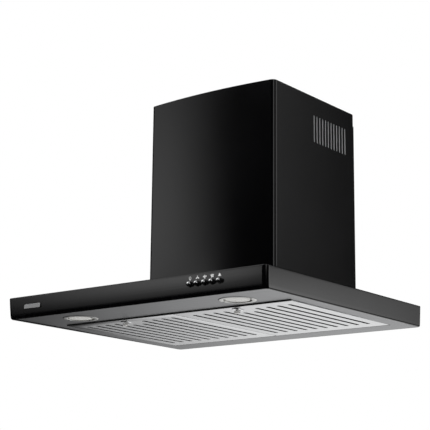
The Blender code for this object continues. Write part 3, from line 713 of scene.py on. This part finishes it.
def make_buttons():
    """Push buttons: turned and plated caps with a domed face."""
    seat = [(BUTTON_HOLE, 0.2), (BUTTON_HOLE, 2.4), (5.6, 2.4), (5.6, 0.2), (BUTTON_HOLE, 0.2)]
    for k, button in enumerate(BUTTONS, 1):
        low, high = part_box(button)
        centre = Vector((centre_of(button).x, low.y, centre_of(button).z))
        stem = (high.y - low.y) / MM
        profile = [(0, 0), (0.8, 0.06), (1.6, 0.26), (2.3, 0.56), (3.0, 1.02), (3.5, 1.52), (3.9, 2.12),
                   (4.15, 2.7), (4.28, 3.3), (4.3, 4.0), (4.3, 12.0), (2.0, 12.0), (2.0, stem), (0, stem)]
        piece = lathe("plated_button_%d" % k, profile, centre, "Y", 48)
        smooth(piece, 40, keep_flats=False)
        deliver(piece, LOOKS["chrome"], "key_%d" % k, "chrome", button)
        grommet = lathe("button_seat_%d" % k, seat, (centre.x, FRONT + 0.6 * MM, centre.z), "Y", 40)
        deliver(grommet, LOOKS["dark_plastic"], "hood", "dark_plastic")


# ---------------------------------------------------------------- chimney

def chimney_outline(inset, flange):
    """Points round the chimney: rear flange, side, front corner, bowed front and back again, at Z = 0."""
    sizes = bpy.context.scene.hood_sizes
    half = CHIMNEY_HIGH.x
    bow = (half ** 2 + sizes.chimney_bow ** 2) / (2 * sizes.chimney_bow)
    middle_y = CHIMNEY_LOW.y + bow
    corner_x = half - sizes.chimney_corner
    corner_y = middle_y - sqrt((bow - sizes.chimney_corner) ** 2 - corner_x ** 2)
    lean = atan2(corner_x, middle_y - corner_y)
    points = [Vector((half - flange, -inset, 0)), Vector((half - inset, -inset, 0))]
    radius = sizes.chimney_corner - inset
    for k in range(11):
        turn = -(pi / 2 - lean) * k / 10
        points.append(Vector((corner_x + radius * cos(turn), corner_y + radius * sin(turn), 0)))
    steps = 24
    for k in range(1, steps + 1):
        turn = lean * (1 - k / steps)
        points.append(Vector(((bow - inset) * sin(turn), middle_y - (bow - inset) * cos(turn), 0)))
    return points + [Vector((-p.x, p.y, 0)) for p in reversed(points[:-1])]


def chimney_sheet(name, inset, low, high):
    """Folded sheet: the outline drawn upwards, with its thickness inside and softened ends."""
    sizes = bpy.context.scene.hood_sizes
    piece = trace(name, [p + Vector((0, 0, low)) for p in chimney_outline(inset, 16 * MM)])
    with Editing(piece, "EDGE"):
        take_all()
        bpy.ops.mesh.extrude_edges_move(TRANSFORM_OT_translate={"value": (0, 0, high - low)})
    with Editing(piece):
        face_outwards()
        mesh = bmesh.from_edit_mesh(piece.data)
        outward = sum(f.normal.dot(middle(f) - Vector((0, -0.14, middle(f).z))) for f in mesh.faces)
        if outward < 0:
            bpy.ops.mesh.flip_normals()
    thicken(piece, sizes.duct_sheet)
    ends = (level("z", low), level("z", high))
    round_edges(piece, (lambda e: any(test(e) for test in ends), 0.2 * MM, 2))
    return piece


def vent_cutters():
    """One comb of slot-shaped posts through each side of the chimney."""
    sizes = bpy.context.scene.hood_sizes
    posts = []
    for side in (-1, 1):
        for k in range(VENT_COUNT):
            y = VENT_FIRST + sizes.vent_pitch * k
            low, high = sorted((side * (CHIMNEY_HIGH.x - 8 * MM), side * (CHIMNEY_HIGH.x + 8 * MM)))
            half = sizes.vent_width / 2
            post = add_box("vent_post", (low, y - half, VENT_LOW), (high, y + half, VENT_HIGH))
            round_edges(post, (along("x"), half * 0.998, 6))
            posts.append(post)
    return join("vent_comb", posts)


def make_chimneys():
    """Outer chimney with its vents and rear notch, and the telescopic upper one inside it."""
    sizes = bpy.context.scene.hood_sizes
    outer = chimney_sheet("outer_sheet", 0.0, CHIMNEY_LOW.z, CHIMNEY_HIGH.z)
    notch = add_box("notch", (-0.2, -3 * MM, CHIMNEY_HIGH.z - 25.5 * MM),
                    (0.2, 0.02, CHIMNEY_HIGH.z + 0.02))
    subtract(outer, vent_cutters(), notch)
    smooth(outer)
    deliver(outer, LOOKS["enamel"], "hood", "black_enamel", "outer_chimney")
    low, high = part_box("inner_chimney")
    # Pale steel behind the vents: painted light.
    inner = chimney_sheet("upper_sheet", sizes.duct_sheet + 0.2 * MM, low.z, high.z)
    smooth(inner)
    deliver(inner, LOOKS["duct"], "upper_chimney", "duct_steel", "inner_chimney")


# ---------------------------------------------------------------- underside

def rounded_sheet(name, low, high, height, radius, segments=6):
    """A flat rectangle with rounded corners, facing down."""
    piece = add_sheet(name, low, high, height)
    with Editing(piece, "VERT"):
        take_all()
        bpy.ops.mesh.bevel(offset=radius, segments=segments, affect="VERTICES")
    with Editing(piece):
        take_all()
        bpy.ops.mesh.flip_normals()
    return piece


def make_panel():
    """Underside panel: sheet with upturned edges, the filters' opening folded up, and two lamp holes."""
    face = CANOPY_LOW.z
    low, high = Vector((PANEL_LOW.x, FRONT + 9.0 * MM)), Vector((PANEL_HIGH.x, PANEL_HIGH.y))
    piece = rounded_sheet("panel_tray", low, high, face, 4.5 * MM, 8)
    with Editing(piece, "EDGE") as edit:
        edit.pick(lambda e: True)
        bpy.ops.mesh.extrude_edges_move(TRANSFORM_OT_translate={"value": (0, 0, PANEL_HIGH.z - face)})
        edit.pick(level("z", face))
        bpy.ops.mesh.bevel(offset=0.9 * MM, segments=4, affect="EDGES")
    with Editing(piece):
        face_outwards()
        mesh = bmesh.from_edit_mesh(piece.data)
        if max(mesh.faces, key=lambda f: f.calc_area()).normal.z > 0:
            bpy.ops.mesh.flip_normals()
    thicken(piece, 1.0 * MM)
    filters_low, filters_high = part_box("filter_face_left")[0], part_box("filter_face_right")[1]
    gap = 1.2 * MM
    hole_low = Vector((filters_low.x - gap, filters_low.y - 1.8 * MM, face))
    hole_high = Vector((filters_high.x + gap, filters_high.y + 1.8 * MM, face))
    cutters = [add_box("opening", hole_low - Vector((0, 0, 5 * MM)), hole_high + Vector((0, 0, 5 * MM)))]
    for name, _ in SIDES:
        centre = centre_of("lamp_ring_" + name)
        cutters.append(drill("lamp_hole", LAMP_HOLE, 4, (centre.x, centre.y, face), "Z", 48))
    subtract(piece, *cutters)
    fold = rounded_sheet("opening_fold", hole_low, hole_high, face + 0.2 * MM, 1.5 * MM, 4)
    with Editing(fold, "EDGE") as edit:
        edit.pick(lambda e: True)
        bpy.ops.mesh.extrude_edges_move(TRANSFORM_OT_translate={"value": (0, 0, 9.8 * MM)})
    with Editing(fold) as edit:
        edit.pick(lambda f: abs(f.normal.z) > 0.99)
        bpy.ops.mesh.delete(type="FACE")
        take_all()
        bpy.ops.mesh.normals_make_consistent(inside=True)
    thicken(fold, 1.0 * MM)
    piece = join("panel_tray", [piece, fold])
    with Editing(piece):
        for y in (hole_low.y - MM, hole_high.y + MM):
            take_all()
            bpy.ops.mesh.bisect(plane_co=(0, y, 0), plane_no=(0, 1, 0))
    for corner in piece.data.vertices:
        share = (hole_high.y + MM - corner.co.y) / (hole_high.y - hole_low.y + 2 * MM)
        below = min(1.0, (PANEL_HIGH.z - corner.co.z) / (8 * MM))
        corner.co.z += STRIP_LIFT * min(max(share, 0.0), 1.0) * below
    smooth(piece)
    deliver(piece, LOOKS["panel"], "hood", "brushed_panel", "underside_panel")
    # Black rubber strip along the filters' front edge, below the raised front strip; it stands in for the
    # shade on the filters' front wall: painted shade.
    shade_strip = add_box("filters_front_painted_shade", (filters_low.x, hole_low.y - 1.6 * MM, face),
                   (filters_high.x, hole_low.y - 0.2 * MM, face + STRIP_LIFT + 0.8 * MM))
    round_edges(shade_strip, (along("x"), 0.4 * MM, 3))
    smooth(shade_strip)
    deliver(shade_strip, LOOKS["rubber"], "hood", "rubber")


def pan_head(name, centre, radius, height, slot_turn):
    """Cross-slot pan head screw on a Z axis, its crown pointing down."""
    rise = height / MM
    wide = radius / MM
    profile = [(0, 0), (wide, 0), (wide, -0.35 * rise), (0.82 * wide, -0.8 * rise),
               (0.4 * wide, -rise), (0, -rise)]
    piece = lathe(name, profile, centre, "Z", 28)
    cross = []
    for turn in (slot_turn, slot_turn + pi / 2):
        length, width = 1.25 * radius, 0.2 * radius
        half = Vector((length / 2, width / 2, height * 0.55))
        post = add_box("cross", -half, half)
        post.data.transform(Matrix.Translation(Vector(centre) - Vector((0, 0, height)))
                            @ Matrix.Rotation(turn, 4, "Z"))
        cross.append(post)
    subtract(piece, *cross)
    return smooth(piece, 30, keep_flats=False)


def make_lamps():
    """Lamps: spun trim ring, frosted lens set back in it, dark well behind and two screws."""
    for name, side in SIDES:
        low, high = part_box("lamp_ring_" + name)
        at = centre_of("lamp_ring_" + name)
        outer = (high.x - low.x) / 2 / MM - 2.7
        base = high.z / MM
        panel = (CANOPY_LOW.z + STRIP_LIFT) / MM
        face = panel - 0.8
        profile = [(outer - 2.8, base), (outer - 2.8, panel - 0.1), (outer - 0.2, panel - 0.1),
                   (outer, panel - 0.2), (outer - 0.2, panel - 0.42), (outer - 0.8, panel - 0.62),
                   (outer - 1.8, face + 0.04), (outer - 2.8, face), (26.0, face),
                   (25.1, face + 0.12), (24.7, face + 0.5),
                   (RING_MOUTH, face + 1.6), (RING_MOUTH, base), (outer - 2.8, base)]
        ring = lathe("trim_ring_" + name, profile, (at.x, at.y, 0), "Z", 96)
        smooth(ring, 40, keep_flats=False)
        deliver(ring, LOOKS["spun_" + name], "hood", "satin_ring", "lamp_ring_" + name)
        crown = face + 0.25
        profile = [(0, crown + 0.05), (8, crown + 0.1), (15, crown + 0.25), (19.5, crown + 0.5),
                   (21.4, crown + 0.75), (22.2, crown + 1.3), (22.6, crown + 2.2),
                   (LENS_EDGE, crown + 2.2), (LENS_EDGE, base), (0, base)]
        lens = lathe("frosted_lens_" + name, profile, (at.x, at.y, 0), "Z", 96)
        smooth(lens, 40, keep_flats=False)
        deliver(lens, LOOKS["lens"], "hood", "frosted_lens", "lamp_lens_" + name)
        for which in ("outer", "inner"):
            screw = "lamp_screw_%s_%s" % (name, which)
            box_low, box_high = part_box(screw)
            centre = ((box_low.x + box_high.x) / 2, (box_low.y + box_high.y) / 2, (face + 0.1) * MM)
            head = pan_head("ring_" + screw, centre, (box_high.x - box_low.x) / 2, 1.0 * MM,
                            0.5 + side * 0.4 + (which == "outer"))
            deliver(head, LOOKS["chrome"], "hood", "chrome", screw)


# ---------------------------------------------------------------- filters

def slot_post(name, k, centre_x, low, high):
    """Post in the shape of one slot; the middle two are shorter in front."""
    sizes = bpy.context.scene.hood_sizes
    x = centre_x + (k - (SLOT_COUNT - 1) / 2) * sizes.slot_pitch
    front = SLOT_SHORT if k in SHORT_SLOTS else SLOT_FRONT
    return capsule(name, x, front, SLOT_BACK, sizes.slot_width, low, high)


def make_filter_face():
    """Filter tray: box without a top, its sheet's thickness, drawn slots, latch slot and bolt window."""
    low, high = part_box("filter_face_right")
    centre_x = (low.x + high.x) / 2
    latch = centre_of("latch_plate_right")
    piece = add_box("slotted_tray_right", low, high)
    round_edges(piece, (upright_edge, 2.0 * MM, 5), (level("z", low.z), 0.8 * MM, 4))
    with Editing(piece) as edit:
        edit.pick(lambda f: f.normal.z > 0.99 and near(middle(f).z, high.z))
        bpy.ops.mesh.delete(type="FACE")
    thicken(piece, 0.9 * MM)
    posts = [slot_post("slot", k, centre_x, low.z - 3 * MM, low.z + 3 * MM) for k in range(SLOT_COUNT)]
    posts.append(capsule("latch_slot", centre_x, latch.y - 6.5 * MM, latch.y + 7.5 * MM, 5.6 * MM,
                         low.z - 3 * MM, low.z + 3 * MM))
    window = add_box("bolt_window", (centre_x - 8 * MM, low.y - 2 * MM, low.z + 1.3 * MM),
                     (centre_x + 8 * MM, low.y + 3 * MM, low.z + 5 * MM))
    subtract(piece, join("slots", posts), window)
    lips = [slot_lip(k, centre_x, low.z) for k in range(SLOT_COUNT)]
    piece = join("slotted_tray_right", [piece] + lips)
    smooth(piece, 30)
    return piece


def slot_lip(k, centre_x, face):
    """Drawn lip round one slot: the sheet turned up into the tray."""
    lip = slot_post("lip", k, centre_x, face + 0.25 * MM, face + 1.5 * MM)
    with Editing(lip) as edit:
        edit.pick(lambda f: abs(f.normal.z) > 0.99)
        bpy.ops.mesh.delete(type="FACE")
        take_all()
        bpy.ops.mesh.flip_normals()
    return thicken(lip, 0.5 * MM)


def make_filter_mesh():
    """Knitted pad: three layers of drawn-open aluminium diamonds, each a little wavy, inside the tray."""
    sizes = bpy.context.scene.hood_sizes
    low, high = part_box("filter_mesh_right")
    middle_at = (low + high) / 2
    reach = (high.x - low.x + high.y - low.y) * 0.75
    layers = []
    for layer, lift in enumerate((0.6, 1.3, 2.0)):
        bpy.ops.object.select_all(action="DESELECT")
        count = int(reach / sizes.mesh_cell)
        bpy.ops.mesh.primitive_grid_add(x_subdivisions=count, y_subdivisions=count, size=reach)
        cloth = bpy.context.object
        turn = Matrix.Rotation(pi / 4 + 0.06 * layer, 4, "Z")
        squeeze = Matrix.Diagonal((1.0, 0.62 + 0.1 * layer, 1.0, 1.0))
        grow = Matrix.Scale(1.25, 4)
        shift = Matrix.Translation((middle_at.x, middle_at.y, low.z + lift * MM))
        cloth.data.transform(shift @ squeeze @ grow @ turn)
        for corner in cloth.data.vertices:
            wave = sin(corner.co.x / (5.1 * MM)) * cos(corner.co.y / (4.3 * MM) + layer)
            corner.co.z += 0.22 * MM * wave
        with Editing(cloth):
            sides = ((low, (-1, 0, 0)), (low, (0, -1, 0)), (high, (1, 0, 0)), (high, (0, 1, 0)))
            for point, normal in sides:
                take_all()
                bpy.ops.mesh.bisect(plane_co=point, plane_no=normal, clear_outer=True)
        modify(cloth, "WIREFRAME", thickness=0.55 * MM, use_replace=True, use_even_offset=False)
        layers.append(cloth)
    return join("knitted_mesh_right", layers)


def make_latch_parts():
    """Filter latch: thumb tab on its stem with the flat bolt, and the slotted washer plate."""
    low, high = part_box("filter_latch_right")
    plate_low, plate_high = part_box("latch_plate_right")
    at = Vector(((low.x + high.x) / 2, LATCH_Y, 0))
    foot = low.z / MM
    profile = [(0, foot + 4.0), (2.4, foot + 4.0), (2.4, high.z / MM), (0, high.z / MM)]
    stem = lathe("latch_stem", profile, at, "Z", 32)
    tab = add_box("latch_tab", (at.x - 4.8 * MM, at.y - 3.4 * MM, low.z),
                  (at.x + 4.8 * MM, at.y + 3.4 * MM, low.z + 5.6 * MM))
    round_edges(tab, (upright_edge, 1.0 * MM, 5),
                (lambda e: abs((e.verts[1].co - e.verts[0].co).normalized().z) < 0.01, 0.5 * MM, 3))
    with Editing(tab, "VERT") as edit:
        edit.pick(lambda v: v.co.z < low.z + 2.0 * MM)
        bpy.ops.transform.resize(value=(0.96, 0.945, 1.0), center_override=(at.x, at.y, low.z))
    smooth(stem, 40, keep_flats=False)
    smooth(tab, 50)
    bolt = add_box("bolt", (low.x, low.y, high.z - 2.4 * MM), (high.x, high.y, high.z))
    round_edges(bolt, (lambda e: True, 0.4 * MM, 2))
    smooth(bolt)
    knob = join("latch_knob_right", [tab, stem, bolt])
    outer = add_box("latch_washer_right", plate_low, plate_high)
    round_edges(outer, (upright_edge, 5.0 * MM, 8), (level("z", plate_low.z), 0.35 * MM, 3))
    hole = capsule("hole", at.x, at.y - 4 * MM, at.y + 10 * MM, 5.6 * MM,
                   plate_low.z - MM, plate_high.z + MM)
    subtract(outer, hole)
    smooth(outer)
    return knob, outer


def make_filters():
    """Both filters: the right one is modelled and the left one is its mirror."""
    knob, washer = make_latch_parts()
    rows = (
        (make_filter_face(), "slotted_tray_", "filter", "tray_", "filter_metal", "filter_face_"),
        (make_filter_mesh(), "knitted_mesh_", "wire", "tray_", "filter_metal", "filter_mesh_"),
        (washer, "latch_washer_", "chrome", "tray_", "chrome", "latch_plate_"),
        # The knob wears the near-white tab look in place of chrome: painted reflection.
        (knob, "latch_knob_", "tab", "latch_", "chrome", "filter_latch_"),
    )
    for piece, name, look, body, slot, cad in rows:
        twin = mirrored(piece, name + "left")
        for made, side in ((piece, "right"), (twin, "left")):
            deliver(made, LOOKS[look], body + side, slot, cad + side)


# ---------------------------------------------------------------- blower and the rest

def make_blower_details():
    """Ribs and rivets of the motor box."""
    ribs = []
    crest = BOX_HIGH.y + 1.6 * MM
    for x in (-44, 0, 44):
        rib = add_box("rib", ((x - 3.5) * MM, BOX_HIGH.y - 0.4 * MM, 50 * MM),
                      ((x + 3.5) * MM, crest, 165 * MM))
        round_edges(rib, (along("y"), 3.3 * MM, 6), (level("y", crest), 1.2 * MM, 4))
        ribs.append(smooth(rib))
    deliver(join("box_back_ribs", ribs), LOOKS["zinc"], "hood", "galvanised")
    rivets = []
    for side in (-1, 1):
        profile = [(0, side * 1.2), (1.1, side * 1.1), (1.9, side * 0.6), (2.2, 0), (2.2, side * -0.4),
                   (0, side * -0.4)]
        for z in (34, 80, 126, 172, 218, 252):
            for y in (-250, -18):
                at = (side * (BOX_HIGH.x + 0.05 * MM), y * MM, z * MM)
                rivets.append(lathe("rivet", profile, at, "X", 14))
    rivets = join("box_rivets", rivets)
    smooth(rivets, 40, keep_flats=False)
    deliver(rivets, LOOKS["zinc"], "hood", "galvanised")


def finish_frame_nodes():
    """Give every frame node that stays its finish."""
    groups = {
        "zinc": ("filter_rail", "switch_bracket", "motor_box", "wall_hook_left", "wall_hook_right",
                 "scroll_wrapper", "scroll_side_left", "scroll_side_right", "motor_shaft", "shaft_nut",
                 "motor_strap", "motor_screw_lower", "motor_screw_upper", "flap_pin", "collar_screw_1",
                 "collar_screw_2", "collar_screw_3", "collar_screw_4", "upper_chimney_bracket",
                 "lower_chimney_bracket"),
        "dark_plastic": ("lamp_module_left", "lamp_module_right", "fan_impeller", "terminal_box",
                         "outlet_collar", "backdraft_flap_left", "backdraft_flap_right", "switch_block"),
        "pale_plastic": ("capacitor",),
        "rubber": ("motor_grommet_lower", "motor_grommet_upper"),
        "motor": ("fan_motor",),
    }
    for look, names in groups.items():
        for name in names:
            dress(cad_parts[name], LOOKS[look])
    for name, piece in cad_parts.items():
        if not piece.hide_render and not any(name in names for names in groups.values()):
            raise RuntimeError(name + " has no finish")


# ---------------------------------------------------------------- studio

# Soft cards of light round the hood, as a viewer of its reflections sees them. Bearings are in degrees
# from the front, positive to the right; each span is (start, full, full, end), and so is its height.
CARDS = (
    ("front_left", (-68, -58, -52, -29), (8, 10.5, 12, 26), 1.15),
    ("front_low", (-48.3, -38.5, -36.3, -33.6), (-2.0, 7.0, 8.8, 10), 2.15),
    ("front_high", (-80, -62, -20, 0), (20, 28, 62, 80), 2.0),
    ("corner_strip", (46, 54, 66, 76), (2, 6, 40, 60), 1.6),
    ("right_tall", (104, 116, 132, 150.5), (8, 12, 40, 60), 1.3),
    ("right_low", (118, 128, 141, 156.5), (-30, -2, 6.6, 8.4), 2.6),
    ("rear_left", (-204, -180, -147, -131), (-60, -40, 8, 16), 1.2),
    ("overhead", (-400, -390, 390, 400), (48, 68, 100, 110), 0.5),
)


def combine(tree, operation, first, second):
    """One number from the first outputs of two nodes."""
    return node(tree, "Math", {"operation": operation}, {0: first.outputs[0], 1: second.outputs[0]})


def world_light():
    """White to the camera; for everything else, dark with the soft cards on it."""
    world = bpy.data.worlds.new("studio_world")
    bpy.context.scene.world = world
    world.use_nodes = True
    tree = world.node_tree
    tree.nodes.clear()
    place_node = node(tree, "TexCoord")
    axes = node(tree, "SeparateXYZ", links={0: place_node.outputs["Generated"]})
    back = node(tree, "Math", {"operation": "MULTIPLY", 1: -1.0}, {0: axes.outputs["Y"]})
    around = node(tree, "Math", {"operation": "ARCTAN2"}, {0: axes.outputs["X"], 1: back.outputs[0]})
    up = node(tree, "Math", {"operation": "ARCSINE"}, {0: axes.outputs["Z"]})
    total = node(tree, "Math", {"operation": "ADD", 0: 0.006, 1: 0.0})
    for _, bearing, height, strength in CARDS:
        weight = node(tree, "Math", {"operation": "ADD", 0: 0.0, 1: 0.0})
        for turn in (-360, 0, 360):
            if bearing[0] + turn > 180 or bearing[3] + turn < -180:
                continue
            product = node(tree, "Math", {"operation": "MULTIPLY", 0: strength, 1: 1.0})
            for angle, stops, shift in ((around, bearing, turn), (up, height, 0)):
                for start, full in ((stops[0], stops[1]), (stops[3], stops[2])):
                    edge = node(tree, "MapRange", {
                        "interpolation_type": "SMOOTHSTEP",
                        "From Min": radians(start + shift),
                        "From Max": radians(full + shift),
                    }, {"Value": angle.outputs[0]})
                    product = combine(tree, "MULTIPLY", product, edge)
            weight = combine(tree, "MAXIMUM", weight, product)
        total = combine(tree, "ADD", total, weight)
    light = node(tree, "Background", links={"Strength": total.outputs[0]})
    white = node(tree, "Background", {"Color": (1, 1, 1, 1), "Strength": 1.0})
    seen = node(tree, "LightPath")
    mixed = node(tree, "MixShader",
                 links={0: seen.outputs["Is Camera Ray"], 1: light.outputs[0], 2: white.outputs[0]})
    node(tree, "OutputWorld", links={"Surface": mixed.outputs[0]})


def area_light(name, at, target, size, power):
    """A soft rectangular lamp that lights matt surfaces and stays out of reflections."""
    bpy.ops.object.select_all(action="DESELECT")
    bpy.ops.object.light_add(type="AREA", location=at)
    lamp = bpy.context.object
    lamp.name = name
    lamp.data.shape = "SQUARE"
    lamp.data.size = size
    lamp.data.energy = power
    lamp.rotation_euler = (Vector(target) - Vector(at)).to_track_quat("-Z", "Y").to_euler()
    lamp.visible_camera = False
    lamp.visible_glossy = False


def make_stage():
    """Pale floor, soft light and the camera."""
    scene = bpy.context.scene
    scene.view_settings.view_transform = "Standard"
    bpy.ops.object.select_all(action="DESELECT")
    bpy.ops.mesh.primitive_plane_add(size=8.0, location=(0, -0.4, FLOOR))
    floor = bpy.context.object
    floor.name = "studio_floor"
    place(floor)
    dress(floor, LOOKS["floor"])
    floor.visible_glossy = False
    world_light()
    area_light("key_light", (-2.2, -2.6, 1.8), (0, -0.2, 0.1), 2.0, 55)
    area_light("fill_light", (2.6, -1.4, 0.4), (0, -0.2, 0.1), 1.6, 18)
    area_light("low_light", (-1.2, 0.6, -0.6), (0, -0.2, 0.0), 1.2, 9)
    data = bpy.data.cameras.new("view_camera")
    camera = bpy.data.objects.new("view_camera", data)
    bpy.context.collection.objects.link(camera)
    data.lens = 113.51
    data.sensor_width = 36.0
    data.clip_end = 50.0
    bearing, pitch, roll = radians(37.636), radians(13.263), radians(0.579)
    camera.location = (1.5519, -2.2779, -0.4095)
    tilt = Matrix.Rotation(pi / 2 + pitch, 4, "X")
    turn = Matrix.Rotation(bearing, 4, "Z") @ tilt @ Matrix.Rotation(roll, 4, "Z")
    camera.rotation_euler = turn.to_euler()
    scene.camera = camera


# ---------------------------------------------------------------- operators and panel

class HOOD_OT_looks(bpy.types.Operator):
    """Materials of every part, which the other steps use."""

    bl_idname = "hood.looks"
    bl_label = "Materials"

    def execute(self, context):
        make_looks()
        return {"FINISHED"}


class HOOD_OT_stage(bpy.types.Operator):
    """Floor, soft light and camera."""

    bl_idname = "hood.stage"
    bl_label = "Stage"

    def execute(self, context):
        make_stage()
        return {"FINISHED"}


class HOOD_OT_canopy(bpy.types.Operator):
    """Canopy shell with its badge and printed marks."""

    bl_idname = "hood.canopy"
    bl_label = "Canopy"

    def execute(self, context):
        make_canopy()
        make_badge()
        make_marks()
        return {"FINISHED"}


class HOOD_OT_buttons(bpy.types.Operator):
    """Five plated push buttons and their seats."""

    bl_idname = "hood.buttons"
    bl_label = "Push Buttons"

    def execute(self, context):
        make_buttons()
        return {"FINISHED"}


class HOOD_OT_chimneys(bpy.types.Operator):
    """Outer chimney and the telescopic upper one."""

    bl_idname = "hood.chimneys"
    bl_label = "Chimneys"

    def execute(self, context):
        make_chimneys()
        return {"FINISHED"}


class HOOD_OT_underside(bpy.types.Operator):
    """Underside panel and both lamps."""

    bl_idname = "hood.underside"
    bl_label = "Underside"

    def execute(self, context):
        make_panel()
        make_lamps()
        return {"FINISHED"}


class HOOD_OT_filters(bpy.types.Operator):
    """Grease filters with their knitted pads and latches."""

    bl_idname = "hood.filters"
    bl_label = "Filters"

    def execute(self, context):
        make_filters()
        return {"FINISHED"}


class HOOD_OT_blower(bpy.types.Operator):
    """Details of the motor box, and finishes of the parts inside."""

    bl_idname = "hood.blower"
    bl_label = "Blower"

    def execute(self, context):
        make_blower_details()
        finish_frame_nodes()
        return {"FINISHED"}


STEPS = (HOOD_OT_looks, HOOD_OT_stage, HOOD_OT_canopy, HOOD_OT_buttons, HOOD_OT_chimneys,
         HOOD_OT_underside, HOOD_OT_filters, HOOD_OT_blower)


class HOOD_PT_panel(bpy.types.Panel):
    """Sizes, colours and the steps that build the hood."""

    bl_idname = "HOOD_PT_panel"
    bl_label = "Range Hood"
    bl_space_type = "VIEW_3D"
    bl_region_type = "UI"
    bl_category = "Range Hood"

    def draw(self, context):
        for group in (context.scene.hood_sizes, context.scene.hood_colours):
            for key in group.__annotations__:
                self.layout.prop(group, key)
        for step in STEPS:
            self.layout.operator(step.bl_idname)


CLASSES = (HoodSizes, HoodColours, *STEPS, HOOD_PT_panel)


def register():
    """Register the classes and the settings."""
    for each in CLASSES:
        bpy.utils.register_class(each)
    bpy.types.Scene.hood_sizes = bpy.props.PointerProperty(type=HoodSizes)
    bpy.types.Scene.hood_colours = bpy.props.PointerProperty(type=HoodColours)


def unregister():
    """Remove the settings and the classes."""
    del bpy.types.Scene.hood_colours
    del bpy.types.Scene.hood_sizes
    for each in reversed(CLASSES):
        bpy.utils.unregister_class(each)


def main():
    """Build everything in order."""
    register()
    bpy.ops.hood.looks()
    bpy.ops.hood.stage()
    bpy.ops.hood.canopy()
    bpy.ops.hood.buttons()
    bpy.ops.hood.chimneys()
    bpy.ops.hood.underside()
    bpy.ops.hood.filters()
    bpy.ops.hood.blower()


if __name__ == "__main__":
    main()
